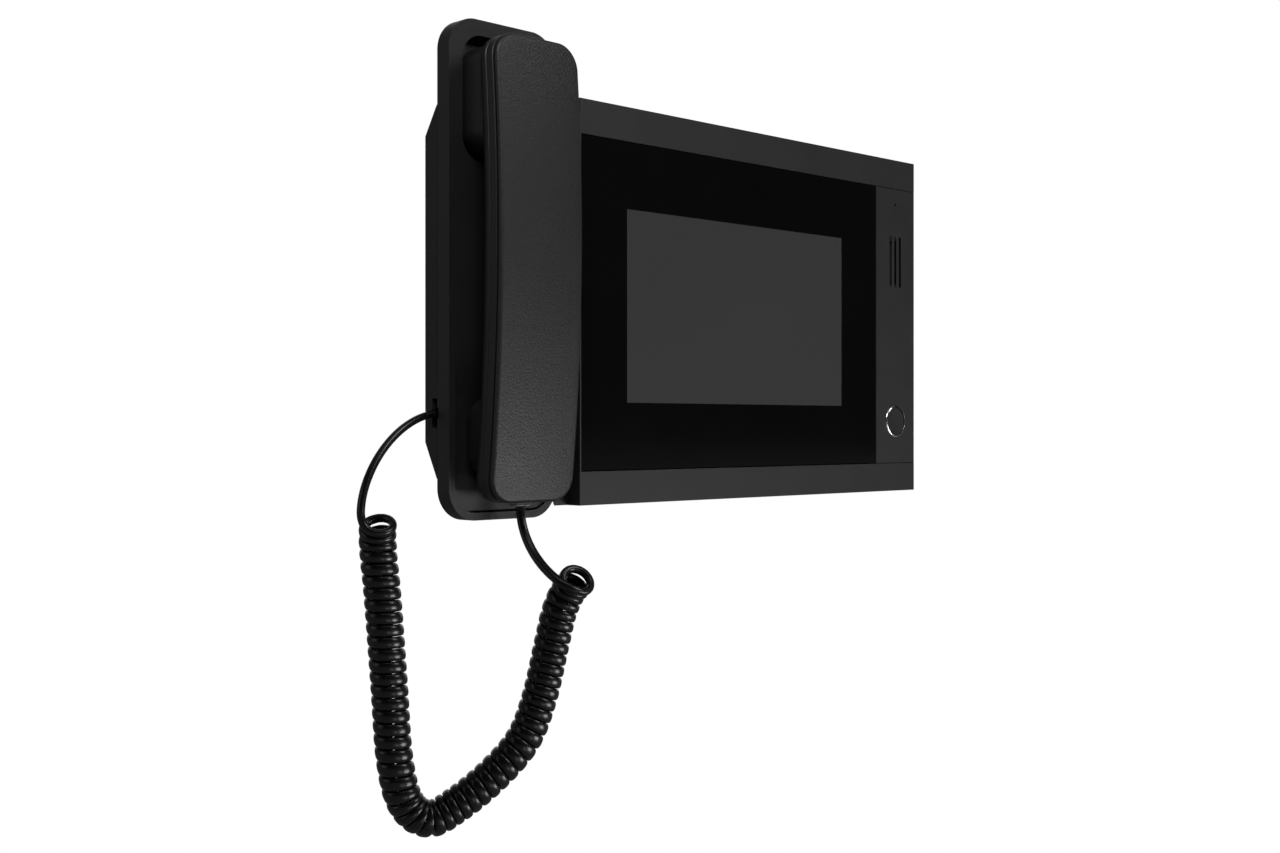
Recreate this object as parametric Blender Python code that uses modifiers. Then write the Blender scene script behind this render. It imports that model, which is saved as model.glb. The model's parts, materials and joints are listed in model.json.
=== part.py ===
"""Wall-mounted video intercom monitor with a corded handset on its left side.

X runs to the right along the wall, Y runs into the wall and Z up. The origin is on the wall,
behind the centre of the monitor panel. "Depth" is a distance out from the wall, so y = -depth.
"""

import math

import bmesh
import bpy
from mathutils import Matrix, Vector

MM = 0.001
GAP = 0.3 * MM                      # clearance between neighbouring pieces

# Monitor panel
PANEL_WIDTH = 246.0 * MM
PANEL_HEIGHT = 176.0 * MM
PANEL_DEPTH = 22.6 * MM             # front face, from the wall
FRAME_BACK = 14.9 * MM
TOP_BAND = 15.2 * MM
BOTTOM_BAND = 14.6 * MM
LEFT_LIP = 0.8 * MM
STRIP_WIDTH = 33.7 * MM
RECESS_FLOOR = 20.0 * MM            # depth of the floor under the glass and the strip
FRAME_WEB = 2.6 * MM                # wall between the recess and the rear pocket
FRAME_WALL = 3.0 * MM
GLASS_THICKNESS = 2.1 * MM

# Display: a 7 inch panel with a 154.1 x 85.9 mm picture
SCREEN_CENTRE = (-17.2 * MM, -0.3 * MM)
LCD_SIZE = (158.0 * MM, 92.0 * MM, 1.9 * MM)
LCD_TRAY_SIZE = (165.0 * MM, 100.0 * MM)

# Control strip
STRIP_CENTRE_X = 106.2 * MM
KEY_Z = -51.1 * MM
KEY_RING_RADIUS = 8.65 * MM
KEY_RADIUS = 7.5 * MM
KEY_TRAVEL = 0.8 * MM
SPEAKER_Z = 33.8 * MM
SLOT_PITCH = 4.1 * MM
SLOT_WIDTH = 1.5 * MM
SLOT_LENGTH = 27.0 * MM
MIC_Z = 64.0 * MM
MIC_HOLE_RADIUS = 0.8 * MM

# Rear housing
HOUSING_BACK = GAP
HOUSING_FRONT = 14.6 * MM
HOUSING_BACK_TOP = 65.0 * MM
HOUSING_BACK_BOTTOM = -59.75 * MM
HOUSING_RIGHT = 122.5 * MM
HOUSING_FLOOR = 3.5 * MM            # depth of the inner face of the back wall
HOUSING_WALL = 2.3 * MM

# Wall bracket
BRACKET_SIZE = (120.0 * MM, 90.0 * MM, 1.2 * MM)
CABLE_WINDOW = (15.0 * MM, 55.0 * MM, -18.0 * MM, 18.0 * MM)
BRACKET_TAB_X = 52.0 * MM
BRACKET_TAB_Z = 30.0 * MM

# Handset cradle
CRADLE_LEFT = -189.1 * MM
CRADLE_WIDTH = 58.0 * MM
CRADLE_TOP = 113.5 * MM
CRADLE_BOTTOM = -92.5 * MM
CRADLE_CORNER = 13.5 * MM
CRADLE_BACK = 8.3 * MM
CRADLE_FRONT = 16.1 * MM
POCKET_WIDTH = 44.0 * MM
POCKET_TOP = 107.0 * MM
POCKET_BOTTOM = 55.0 * MM
POCKET_CORNER = 10.0 * MM
POCKET_FLOOR = 10.1 * MM
TRAY_RIM = 3.2 * MM
TRAY_TOP = -19.0 * MM
TRAY_FLOOR = 11.0 * MM
TRAY_LEDGE = 14.9 * MM

# Handset
HANDSET_WIDTH = 44.4 * MM
HANDSET_TOP = 104.7 * MM
HANDSET_BOTTOM = -85.0 * MM
HANDSET_CORNER = 10.5 * MM
HANDSET_APEX_DEPTH = 40.8 * MM
HANDSET_APEX_Z = 25.0 * MM
HANDSET_ARC_RADIUS = 900.0 * MM
COVER_THICKNESS = 2.9 * MM
BAND_START = 3.2 * MM               # all measured back from the curved front face
BAND_END = 7.2 * MM
REAR_START = 7.5 * MM
REAR_SIDE_END = 9.3 * MM
REAR_END = 14.0 * MM
REAR_TAPER = 5.0 * MM
EAR_BLOCK = (58.0 * MM, 102.0 * MM)
EAR_TIP = 11.4 * MM
MOUTH_BLOCK = (-74.5 * MM, -42.0 * MM)
MOUTH_TIP = 12.5 * MM
EAR_BLOCK_WIDTH = 42.2 * MM
MOUTH_BLOCK_WIDTH = 37.0 * MM
BLOCK_CORNER = 9.0 * MM
SHELL_WALL = 2.0 * MM

# Hook switch
HOOK_Z = -55.0 * MM
HOOK_TRAVEL = 4.0 * MM
PLUNGER_RADIUS = 3.0 * MM
FLANGE_RADIUS = 4.8 * MM
FLANGE_DEPTH = (4.5 * MM, 5.5 * MM)

# Coiled cord
WIRE_RADIUS = 1.45 * MM
COIL_RADIUS = 5.9 * MM              # to the centre of the wire
COIL_PITCH = 5.0 * MM
BEND_PITCH = 6.4 * MM
CORD_SLOT_Z = -48.4 * MM
CORD_SLOT_HEIGHT = 12.0 * MM
CORD_DEPTH = 6.6 * MM
COIL_STEPS_PER_TURN = 8
COIL_START = 0.16                   # where the lead joins, as a share of a turn past the left side
LEAD_SWING = Vector((-21.0 * MM, 0.0, -2.0 * MM))   # how the lead leaves the housing
LEAD_FALL = Vector((0.5 * MM, 0.0, 16.0 * MM))      # how it comes down to its knee
KNEE_BACK = 4.6 * MM                # the knee lies this far back from the coil's first point
KNEE_RISE = 6.5 * MM
KNEE_EASE = 4.0 * MM
JOINT_EASE = 3.0 * MM
TAIL_EASE = 16.0 * MM
TAIL_FALL = Vector((0.0, 0.0, -18.0 * MM))          # how the tail hangs from the plug
HANG_START = Vector((-217.0 * MM, -12.0 * MM, 0.0))
HANG_END = Vector((-152.0 * MM, -46.0 * MM, 0.0))
# Axis of the coil in its hanging plane: (distance along the plane, height)
COIL_AXIS = (
    (-3.7, -94.0),
    (-1.2, -120.0),
    (1.2, -155.0),
    (3.2, -185.0),
    (7.6, -202.5),
    (16.5, -209.5),
    (27.5, -205.0),
    (42.5, -194.0),
    (55.0, -180.5),
    (61.8, -164.0),
    (66.8, -143.0),
    (72.5, -121.0),
)

# Fasteners: head radius, head height, shank radius
SCREW_HEAD_RADIUS = 2.7 * MM
SCREW_HEAD_HEIGHT = 1.1 * MM
SCREW_SHANK_RADIUS = 1.2 * MM
SCREW_HOLE_RADIUS = 1.55 * MM
COUNTERBORE_RADIUS = 3.2 * MM

# Derived
CRADLE_X = CRADLE_LEFT + CRADLE_WIDTH / 2
CRADLE_RIGHT = CRADLE_LEFT + CRADLE_WIDTH
PANEL_LEFT = -PANEL_WIDTH / 2
PANEL_RIGHT = PANEL_WIDTH / 2
RECESS_TOP = PANEL_HEIGHT / 2 - TOP_BAND
RECESS_BOTTOM = -PANEL_HEIGHT / 2 + BOTTOM_BAND
RECESS_LEFT = PANEL_LEFT + LEFT_LIP
STRIP_LEFT = PANEL_RIGHT - STRIP_WIDTH
FRAME_POCKET = RECESS_FLOOR - FRAME_WEB

# Finish: colour, roughness, metallic
FINISHES = {
    "black_plastic": ((0.025, 0.025, 0.027), 0.55, 0.0),
    "handset_plastic": ((0.022, 0.022, 0.022), 0.5, 0.0),
    "black_glass": ((0.004, 0.004, 0.004), 0.12, 0.0),
    "screen": ((0.035, 0.035, 0.037), 0.25, 0.0),
    "chrome": ((0.8, 0.8, 0.82), 0.08, 1.0),
    "steel": ((0.55, 0.56, 0.58), 0.35, 1.0),
    "copper": ((0.8, 0.5, 0.25), 0.3, 1.0),
    "board": ((0.01, 0.13, 0.05), 0.45, 0.0),
    "rubber": ((0.012, 0.012, 0.012), 0.75, 0.0),
    "cord": ((0.01, 0.01, 0.011), 0.25, 0.0),
    "clear_plastic": ((0.75, 0.78, 0.8), 0.1, 0.0),
    "paper_cone": ((0.05, 0.05, 0.05), 0.8, 0.0),
    "green_plastic": ((0.03, 0.25, 0.08), 0.5, 0.0),
}

MODEL = bpy.data.collections.new("video_intercom_monitor")
TOOLS = bpy.data.collections.new("cutters")


def clear_scene():
    for item in list(bpy.data.objects):
        bpy.data.objects.remove(item, do_unlink=True)
    bpy.context.scene.collection.children.link(MODEL)
    bpy.context.scene.collection.children.link(TOOLS)


def make_material(name, colour, roughness, metallic):
    material = bpy.data.materials.new(name)
    material.use_nodes = True
    shader = material.node_tree.nodes["Principled BSDF"]
    shader.inputs["Base Color"].default_value = (*colour, 1.0)
    shader.inputs["Roughness"].default_value = roughness
    shader.inputs["Metallic"].default_value = metallic
    return material


def finish_object(item, finish):
    """Give the piece its own material; a cutter (finish None) is hidden instead."""
    if finish is None:
        TOOLS.objects.link(item)
        item.display_type = "WIRE"
        item.hide_render = True
        return item
    colour, roughness, metallic = FINISHES[finish]
    item.data.materials.append(make_material(item.name, colour, roughness, metallic))
    MODEL.objects.link(item)
    return item


def block(name, x, depth, z, finish=None):
    """Box between two X values, two depths and two heights."""
    mesh = bpy.data.meshes.new(name)
    size = Vector((x[1] - x[0], depth[1] - depth[0], z[1] - z[0]))
    form = bmesh.new()
    bmesh.ops.create_cube(form, size=1.0, matrix=Matrix.Diagonal((*size, 1.0)))
    form.to_mesh(mesh)
    form.free()
    item = bpy.data.objects.new(name, mesh)
    item.location = ((x[0] + x[1]) / 2, -(depth[0] + depth[1]) / 2, (z[0] + z[1]) / 2)
    return finish_object(item, finish)


def arc_points(centre, radius, start, end, steps):
    return [
        (
            centre[0] + radius * math.cos(math.radians(start + (end - start) * i / steps)),
            centre[1] + radius * math.sin(math.radians(start + (end - start) * i / steps)),
        )
        for i in range(steps + 1)
    ]


def rounded_rectangle(centre, width, height, radius, steps=5):
    """Outline points, counter-clockwise from the right side."""
    dx = width / 2 - radius
    dz = height / 2 - radius
    points = []
    for sx, sz, start in ((1, 1, 0), (-1, 1, 90), (-1, -1, 180), (1, -1, 270)):
        corner = (centre[0] + sx * dx, centre[1] + sz * dz)
        points += arc_points(corner, radius, start, start + 90, steps)
    return points


def curve_to_mesh_object(name, curve, matrix):
    """Turn a curve into a closed mesh object with its caps welded on."""
    guide = bpy.data.objects.new(name + "_curve", curve)
    guide.matrix_world = matrix
    TOOLS.objects.link(guide)
    bpy.context.view_layer.update()
    evaluated = guide.evaluated_get(bpy.context.evaluated_depsgraph_get())
    mesh = bpy.data.meshes.new_from_object(evaluated)
    form = bmesh.new()
    form.from_mesh(mesh)
    bmesh.ops.remove_doubles(form, verts=form.verts, dist=0.00001)
    bmesh.ops.recalc_face_normals(form, faces=form.faces)
    form.to_mesh(mesh)
    form.free()
    mesh.materials.clear()
    item = bpy.data.objects.new(name, mesh)
    item.matrix_world = matrix
    bpy.data.objects.remove(guide, do_unlink=True)
    return item


def flat_outline(name, points, thickness, matrix, finish):
    curve = bpy.data.curves.new(name, "CURVE")
    curve.dimensions = "2D"
    curve.fill_mode = "BOTH"
    curve.extrude = thickness / 2
    spline = curve.splines.new("POLY")
    spline.points.add(len(points) - 1)
    for point, (u, v) in zip(spline.points, points):
        point.co = (u, v, 0.0, 1.0)
    spline.use_cyclic_u = True
    return finish_object(curve_to_mesh_object(name, curve, matrix), finish)


def slab(name, points, depth, finish=None):
    """Outline in (X, Z), given thickness between two depths."""
    middle = (depth[0] + depth[1]) / 2
    matrix = Matrix.Translation((0.0, -middle, 0.0)) @ Matrix.Rotation(math.pi / 2, 4, "X")
    return flat_outline(name, points, depth[1] - depth[0], matrix, finish)


def prism(name, points, x, finish=None):
    """Outline in (depth, Z), drawn out between two X values."""
    middle = (x[0] + x[1]) / 2
    turn = Matrix.Rotation(math.pi / 2, 4, "Z") @ Matrix.Rotation(math.pi / 2, 4, "X")
    outline = [(-depth, z) for depth, z in points]
    return flat_outline(name, outline, x[1] - x[0], Matrix.Translation((middle, 0, 0)) @ turn, finish)


def turned(name, profile, centre, finish=None, closed=False, steps=20):
    """Turn (radius, depth) points about an axis that runs out of the wall at (X, Z).

    The profile runs down the outer side, from the greatest depth to the least.
    """
    mesh = bpy.data.meshes.new(name)
    edges = [(i, i + 1) for i in range(len(profile) - 1)]
    if closed:
        edges.append((len(profile) - 1, 0))
    mesh.from_pydata([(radius, 0.0, depth) for radius, depth in profile], edges, [])
    item = bpy.data.objects.new(name, mesh)
    item.rotation_euler = (math.pi / 2, 0.0, 0.0)
    item.location = (centre[0], 0.0, centre[1])
    screw = item.modifiers.new("turn", "SCREW")
    screw.steps = steps
    screw.render_steps = steps
    screw.use_merge_vertices = True
    screw.merge_threshold = 0.00001
    screw.use_smooth_shade = True
    return finish_object(item, finish)


def rod(name, radius, depth, centre, finish=None, steps=20):
    profile = [(0.0, depth[1]), (radius, depth[1]), (radius, depth[0]), (0.0, depth[0])]
    return turned(name, profile, centre, finish, steps=steps)


def ring(name, radii, depth, centre, finish=None, steps=24):
    inner, outer = radii
    profile = [(inner, depth[1]), (outer, depth[1]), (outer, depth[0]), (inner, depth[0])]
    return turned(name, profile, centre, finish, closed=True, steps=steps)


def combine(item, tool, operation):
    modifier = item.modifiers.new(operation.lower(), "BOOLEAN")
    modifier.operation = operation
    modifier.solver = "EXACT"
    modifier.object = tool
    return item


def cut(item, tool):
    return combine(item, tool, "DIFFERENCE")


def join(item, tool):
    return combine(item, tool, "UNION")


def handset_face(z):
    """Depth of the handset's curved front face at a height."""
    return HANDSET_APEX_DEPTH - (z - HANDSET_APEX_Z) ** 2 / (2 * HANDSET_ARC_RADIUS)


def capsule_rows(inset, rows_along_side=10, corner_steps=5):
    """(height, half width) down the handset's rounded-rectangle outline, inset all round."""
    half = HANDSET_WIDTH / 2 - inset
    radius = max(HANDSET_CORNER - inset, 0.5 * MM)
    top = HANDSET_TOP - inset
    bottom = HANDSET_BOTTOM + inset
    rows = [
        (top - radius + radius * math.cos(math.radians(angle)),
         half - radius + radius * math.sin(math.radians(angle)))
        for angle in (90 * i / corner_steps for i in range(corner_steps + 1))
    ]
    first = top - radius
    last = bottom + radius
    rows += [
        (first + (last - first) * i / rows_along_side, half)
        for i in range(1, rows_along_side)
    ]
    rows += [(top + bottom - z, width) for z, width in reversed(rows[:corner_steps + 1])]
    return rows


def handset_layer(name, start, end, finish=None, inset=0.0, taper=0.0, shoulder=None):
    """Slice of the handset between two distances behind its curved face.

    With a taper the sides run straight to the shoulder, then lean in to the rear face.
    """
    form = bmesh.new()
    loops = []
    for z, half in capsule_rows(inset):
        face = handset_face(z)
        section = [(half, start), (half, end)] if shoulder is None else [
            (half, start), (half, shoulder), (max(half - taper, 2.0 * MM), end)]
        right = [form.verts.new((CRADLE_X + w, -(face - back), z)) for w, back in section]
        left = [form.verts.new((CRADLE_X - w, -(face - back), z)) for w, back in reversed(section)]
        loops.append(right + left)
    count = len(loops[0])
    for upper, lower in zip(loops, loops[1:]):
        for i in range(count):
            j = (i + 1) % count
            form.faces.new((upper[i], upper[j], lower[j], lower[i]))
    form.faces.new(loops[0])
    form.faces.new(list(reversed(loops[-1])))
    bmesh.ops.recalc_face_normals(form, faces=form.faces)
    mesh = bpy.data.meshes.new(name)
    form.to_mesh(mesh)
    form.free()
    item = bpy.data.objects.new(name, mesh)
    return finish_object(item, finish)


def screw(name, centre, head_face, length, outward=True, finish="steel"):
    """Pan-head screw. The head's top is at head_face; outward heads face the room."""
    sign = 1 if outward else -1
    under_head = head_face - sign * SCREW_HEAD_HEIGHT
    tip = under_head - sign * length
    profile = [
        (0.0, head_face),
        (SCREW_HEAD_RADIUS * 0.8, head_face),
        (SCREW_HEAD_RADIUS, head_face - sign * 0.4 * MM),
        (SCREW_HEAD_RADIUS, under_head),
        (SCREW_SHANK_RADIUS, under_head),
        (SCREW_SHANK_RADIUS, tip),
        (0.0, tip),
    ]
    if not outward:
        profile.reverse()
    return turned(name, profile, centre, finish, steps=12)


def profile_at(depth, top):
    """Height of the housing's sloped top or bottom edge at a depth."""
    part = depth / HOUSING_FRONT
    start = HOUSING_BACK_TOP if top else HOUSING_BACK_BOTTOM
    end = PANEL_HEIGHT / 2 if top else -PANEL_HEIGHT / 2
    return start + (end - start) * part


def housing_outline(back, front, inset):
    return [
        (back, profile_at(back, True) - inset),
        (front, profile_at(front, True) - inset),
        (front, profile_at(front, False) + inset),
        (back, profile_at(back, False) + inset),
    ]


def board_screw_places():
    return [(x, z) for x in (-88 * MM, 72 * MM) for z in (-46 * MM, 46 * MM)]


def panel_screw_places():
    return [(-112 * MM, -52 * MM), (-112 * MM, 57 * MM), (87 * MM, -52 * MM), (112 * MM, 57 * MM)]


def cradle_screw_places():
    return [(CRADLE_X + side * 23 * MM, z) for side in (-1, 1) for z in (-4 * MM, 44 * MM)]


def make_wall_bracket():
    width, height, thickness = BRACKET_SIZE
    outline = rounded_rectangle((0, 0), width, height, 4 * MM, 3)
    bracket = slab("wall_bracket", outline, (0.0, thickness), "steel")
    x0, x1, z0, z1 = CABLE_WINDOW
    window = rounded_rectangle(((x0 + x1) / 2, (z0 + z1) / 2), x1 - x0, z1 - z0, 3 * MM, 3)
    cut(bracket, slab("bracket_window_cutter", window, (-2 * MM, 4 * MM)))
    for i, (x, z) in enumerate((sx * 30 * MM, sz * 35 * MM) for sx in (-1, 1) for sz in (-1, 1)):
        cut(bracket, rod(f"bracket_hole_cutter_{i}", 2.3 * MM, (-2 * MM, 4 * MM), (x, z)))
    for i, (sx, sz) in enumerate(((-1, -1), (-1, 1), (1, -1), (1, 1))):
        x = sx * BRACKET_TAB_X
        z = sz * BRACKET_TAB_Z
        hook = [
            (0.6 * MM, z),
            (5.2 * MM, z),
            (5.2 * MM, z + 5 * MM),
            (4.1 * MM, z + 5 * MM),
            (4.1 * MM, z + 1.2 * MM),
            (0.6 * MM, z + 1.2 * MM),
        ]
        join(bracket, prism(f"bracket_tab_{i}", hook, (x - 4 * MM, x + 4 * MM)))


def make_rear_housing():
    outline = housing_outline(HOUSING_BACK, HOUSING_FRONT, 0.0)
    housing = prism("rear_housing", outline, (CRADLE_LEFT, HOUSING_RIGHT), "black_plastic")
    room = (-1.0, 1.0)
    cradle_seat = CRADLE_BACK - GAP
    cut(housing, block("cradle_seat_cutter", (-0.3, CRADLE_RIGHT + GAP), (cradle_seat, 0.03), room))
    cavity = housing_outline(HOUSING_FLOOR, 0.03, HOUSING_WALL)
    monitor_room = (PANEL_LEFT + 3 * MM, HOUSING_RIGHT - HOUSING_WALL)
    cut(housing, prism("monitor_room_cutter", cavity, monitor_room))
    cradle_room = (CRADLE_LEFT + HOUSING_WALL, CRADLE_RIGHT - HOUSING_WALL)
    cut(housing, prism("cradle_room_cutter", cavity, cradle_room))
    tunnel = (cradle_room[1] - 1 * MM, monitor_room[0] + 1 * MM)
    cut(housing, block("tunnel_cutter", tunnel, (HOUSING_FLOOR, 10 * MM), (-30 * MM, 30 * MM)))
    width, height, thickness = BRACKET_SIZE
    seat = rounded_rectangle((0, 0), width + 1 * MM, height + 1 * MM, 4.5 * MM, 3)
    cut(housing, slab("bracket_seat_cutter", seat, (-0.01, thickness + GAP)))
    x0, x1, z0, z1 = CABLE_WINDOW
    window = rounded_rectangle(((x0 + x1) / 2, (z0 + z1) / 2), x1 - x0, z1 - z0, 3 * MM, 3)
    cut(housing, slab("housing_window_cutter", window, (-0.01, 6 * MM)))
    for i, (sx, sz) in enumerate(((-1, -1), (-1, 1), (1, -1), (1, 1))):
        x = sx * BRACKET_TAB_X
        z = sz * BRACKET_TAB_Z
        span = (x - 5 * MM, x + 5 * MM)
        cut(housing, block(f"tab_slot_cutter_{i}", span, (-0.01, 6 * MM), (z - GAP, z + 6 * MM)))
    for i, place in enumerate(board_screw_places()):
        post = (HOUSING_FLOOR - 0.5 * MM, 8.9 * MM)
        join(housing, rod(f"board_post_{i}", 3.5 * MM, post, place, steps=16))
        cut(housing, rod(f"board_post_cutter_{i}", SCREW_HOLE_RADIUS, (4.2 * MM, 0.02), place, steps=12))
    for i, place in enumerate(cradle_screw_places()):
        post = (HOUSING_FLOOR - 0.5 * MM, cradle_seat)
        join(housing, rod(f"cradle_post_{i}", 4.2 * MM, post, place, steps=16))
        cut(housing, rod(f"cradle_bore_cutter_{i}", COUNTERBORE_RADIUS, (-0.01, 4.4 * MM), place, steps=16))
        cut(housing, rod(f"cradle_post_cutter_{i}", SCREW_HOLE_RADIUS, (-0.01, 0.02), place, steps=12))
    for i, place in enumerate(panel_screw_places()):
        cut(housing, rod(f"panel_bore_cutter_{i}", COUNTERBORE_RADIUS, (-0.01, 2.0 * MM), place, steps=16))
        cut(housing, rod(f"panel_hole_cutter_{i}", SCREW_HOLE_RADIUS, (-0.01, 6 * MM), place, steps=12))
    side = (CRADLE_LEFT - 2 * MM, CRADLE_LEFT + 4 * MM)
    slot = (CORD_SLOT_Z - CORD_SLOT_HEIGHT / 2, CORD_SLOT_Z + CORD_SLOT_HEIGHT / 2)
    cut(housing, block("cord_slot_cutter", side, (4.85 * MM, 0.01), slot))


def make_handset_cradle():
    centre_z = (CRADLE_TOP + CRADLE_BOTTOM) / 2
    outline = rounded_rectangle((CRADLE_X, centre_z), CRADLE_WIDTH, CRADLE_TOP - CRADLE_BOTTOM,
                                CRADLE_CORNER, 8)
    cradle = slab("handset_cradle", outline, (CRADLE_BACK, CRADLE_FRONT), "black_plastic")
    pocket_z = (POCKET_TOP + POCKET_BOTTOM) / 2
    pocket = rounded_rectangle((CRADLE_X, pocket_z), POCKET_WIDTH, POCKET_TOP - POCKET_BOTTOM,
                               POCKET_CORNER, 6)
    cut(cradle, slab("ear_pocket_cutter", pocket, (POCKET_FLOOR, 0.03)))
    tray = [
        (CRADLE_FRONT, TRAY_TOP),
        (TRAY_FLOOR + 2.6 * MM, TRAY_TOP - 12 * MM),
        (TRAY_FLOOR + 0.6 * MM, TRAY_TOP - 23 * MM),
        (TRAY_FLOOR, TRAY_TOP - 33 * MM),
        (TRAY_FLOOR, CRADLE_BOTTOM + 19.5 * MM),
        (TRAY_FLOOR + 1.2 * MM, CRADLE_BOTTOM + 17 * MM),
        (TRAY_LEDGE - 0.4 * MM, CRADLE_BOTTOM + 13.5 * MM),
        (TRAY_LEDGE, CRADLE_BOTTOM + 11.5 * MM),
        (TRAY_LEDGE, CRADLE_BOTTOM - 1 * MM),
        (CRADLE_FRONT + 9 * MM, CRADLE_BOTTOM - 1 * MM),
        (CRADLE_FRONT + 9 * MM, TRAY_TOP),
    ]
    tray_cutter = prism("tray_cutter", tray, (CRADLE_LEFT, CRADLE_RIGHT))
    inside = rounded_rectangle((CRADLE_X, centre_z), CRADLE_WIDTH - 2 * TRAY_RIM,
                               CRADLE_TOP - CRADLE_BOTTOM - 2 * TRAY_RIM, CRADLE_CORNER - TRAY_RIM, 8)
    combine(tray_cutter, slab("tray_outline", inside, (0.0, 0.04)), "INTERSECT")
    cut(cradle, tray_cutter)
    hollow = (CRADLE_X - 15 * MM, CRADLE_X + 15 * MM)
    cut(cradle, block("cradle_hollow_cutter", hollow, (0.0, 13.6 * MM), (-12 * MM, 48 * MM)))
    for i, place in enumerate(cradle_screw_places()):
        cut(cradle, rod(f"cradle_boss_cutter_{i}", SCREW_HOLE_RADIUS, (0.0, 13 * MM), place, steps=12))
    plunger = (CRADLE_X, HOOK_Z)
    cut(cradle, rod("plunger_hole_cutter", PLUNGER_RADIUS + 0.4 * MM, (0.0, 0.03), plunger))
    flange_room = (0.0, FLANGE_DEPTH[1] + HOOK_TRAVEL + GAP)
    cut(cradle, rod("plunger_flange_cutter", FLANGE_RADIUS + 0.6 * MM, flange_room, plunger))
    side = (CRADLE_LEFT - 2 * MM, CRADLE_LEFT + 4 * MM)
    notch = (CORD_SLOT_Z - 2.25 * MM, CORD_SLOT_Z + 2.25 * MM)
    cut(cradle, block("cord_notch_cutter", side, (0.0, 9.0 * MM), notch))


def make_front_frame():
    panel_z = (-PANEL_HEIGHT / 2, PANEL_HEIGHT / 2)
    frame = block("front_frame", (PANEL_LEFT, PANEL_RIGHT), (FRAME_BACK, PANEL_DEPTH), panel_z,
                  "black_plastic")
    recess = (RECESS_BOTTOM, RECESS_TOP)
    cut(frame, block("recess_cutter", (RECESS_LEFT, 0.2), (RECESS_FLOOR, 0.05), recess))
    pocket_x = (PANEL_LEFT + FRAME_WALL, PANEL_RIGHT - FRAME_WALL)
    pocket_z = (panel_z[0] + FRAME_WALL, panel_z[1] - FRAME_WALL)
    cut(frame, block("pocket_cutter", pocket_x, (0.0, FRAME_POCKET), pocket_z))
    x, z = SCREEN_CENTRE
    width, height = LCD_TRAY_SIZE
    opening_x = (x - width / 2 - 0.5 * MM, x + width / 2 + 0.5 * MM)
    opening_z = (z - height / 2 - 0.5 * MM, z + height / 2 + 0.5 * MM)
    cut(frame, block("display_opening_cutter", opening_x, (0.0, 0.05), opening_z))
    sound = SLOT_PITCH * 2 + SLOT_WIDTH + 2.4 * MM
    sound_x = (STRIP_CENTRE_X - sound / 2, STRIP_CENTRE_X + sound / 2)
    sound_z = (SPEAKER_Z - SLOT_LENGTH / 2 + 2 * MM, SPEAKER_Z + SLOT_LENGTH / 2 - 2 * MM)
    cut(frame, block("sound_opening_cutter", sound_x, (0.0, 0.05), sound_z))
    cut(frame, rod("mic_path_cutter", 1.0 * MM, (0.0, 0.05), (STRIP_CENTRE_X, MIC_Z), steps=12))
    cut(frame, rod("key_path_cutter", 4.0 * MM, (0.0, 0.05), (STRIP_CENTRE_X, KEY_Z)))
    for i, place in enumerate(panel_screw_places()):
        boss = (4.2 * MM, FRAME_POCKET + 0.5 * MM)
        join(frame, rod(f"frame_boss_{i}", 3.4 * MM, boss, place, steps=16))
        cut(frame, rod(f"frame_boss_cutter_{i}", SCREW_HOLE_RADIUS, (0.0, 13 * MM), place, steps=12))


def make_glass_and_display():
    seat = RECESS_FLOOR + GAP
    glass_x = (RECESS_LEFT + GAP, STRIP_LEFT - GAP)
    edge_z = (RECESS_BOTTOM + GAP, RECESS_TOP - GAP)
    block("front_glass", glass_x, (seat, seat + GLASS_THICKNESS), edge_z, "black_glass")
    x, z = SCREEN_CENTRE
    width, height, thickness = LCD_SIZE
    face = seat - GAP
    panel_x = (x - width / 2, x + width / 2)
    panel_z = (z - height / 2, z + height / 2)
    block("lcd_panel", panel_x, (face - thickness, face), panel_z, "screen")
    tray_width, tray_height = LCD_TRAY_SIZE
    outer_x = (x - tray_width / 2, x + tray_width / 2)
    outer_z = (z - tray_height / 2, z + tray_height / 2)
    tray = block("lcd_tray", outer_x, (14.2 * MM, face), outer_z, "steel")
    inner_x = (panel_x[0] - 0.5 * MM, panel_x[1] + 0.5 * MM)
    inner_z = (panel_z[0] - 0.5 * MM, panel_z[1] + 0.5 * MM)
    cut(tray, block("lcd_tray_cutter", inner_x, (face - thickness - GAP, 0.05), inner_z))


def make_control_strip():
    seat = RECESS_FLOOR + GAP
    strip_x = (STRIP_LEFT, PANEL_RIGHT)
    edge_z = (RECESS_BOTTOM + GAP, RECESS_TOP - GAP)
    strip = block("control_strip", strip_x, (seat, PANEL_DEPTH), edge_z, "black_plastic")
    for i in (-1, 0, 1):
        x = STRIP_CENTRE_X + i * SLOT_PITCH
        slot = rounded_rectangle((x, SPEAKER_Z), SLOT_WIDTH, SLOT_LENGTH, SLOT_WIDTH / 2 - 0.01 * MM, 3)
        cut(strip, slab(f"speaker_slot_cutter_{i + 1}", slot, (0.0, 0.05)))
    cut(strip, rod("mic_hole_cutter", MIC_HOLE_RADIUS, (0.0, 0.05), (STRIP_CENTRE_X, MIC_Z), steps=12))
    key = (STRIP_CENTRE_X, KEY_Z)
    cut(strip, rod("key_hole_cutter", KEY_RING_RADIUS + GAP, (0.0, 0.05), key, steps=32))


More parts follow.
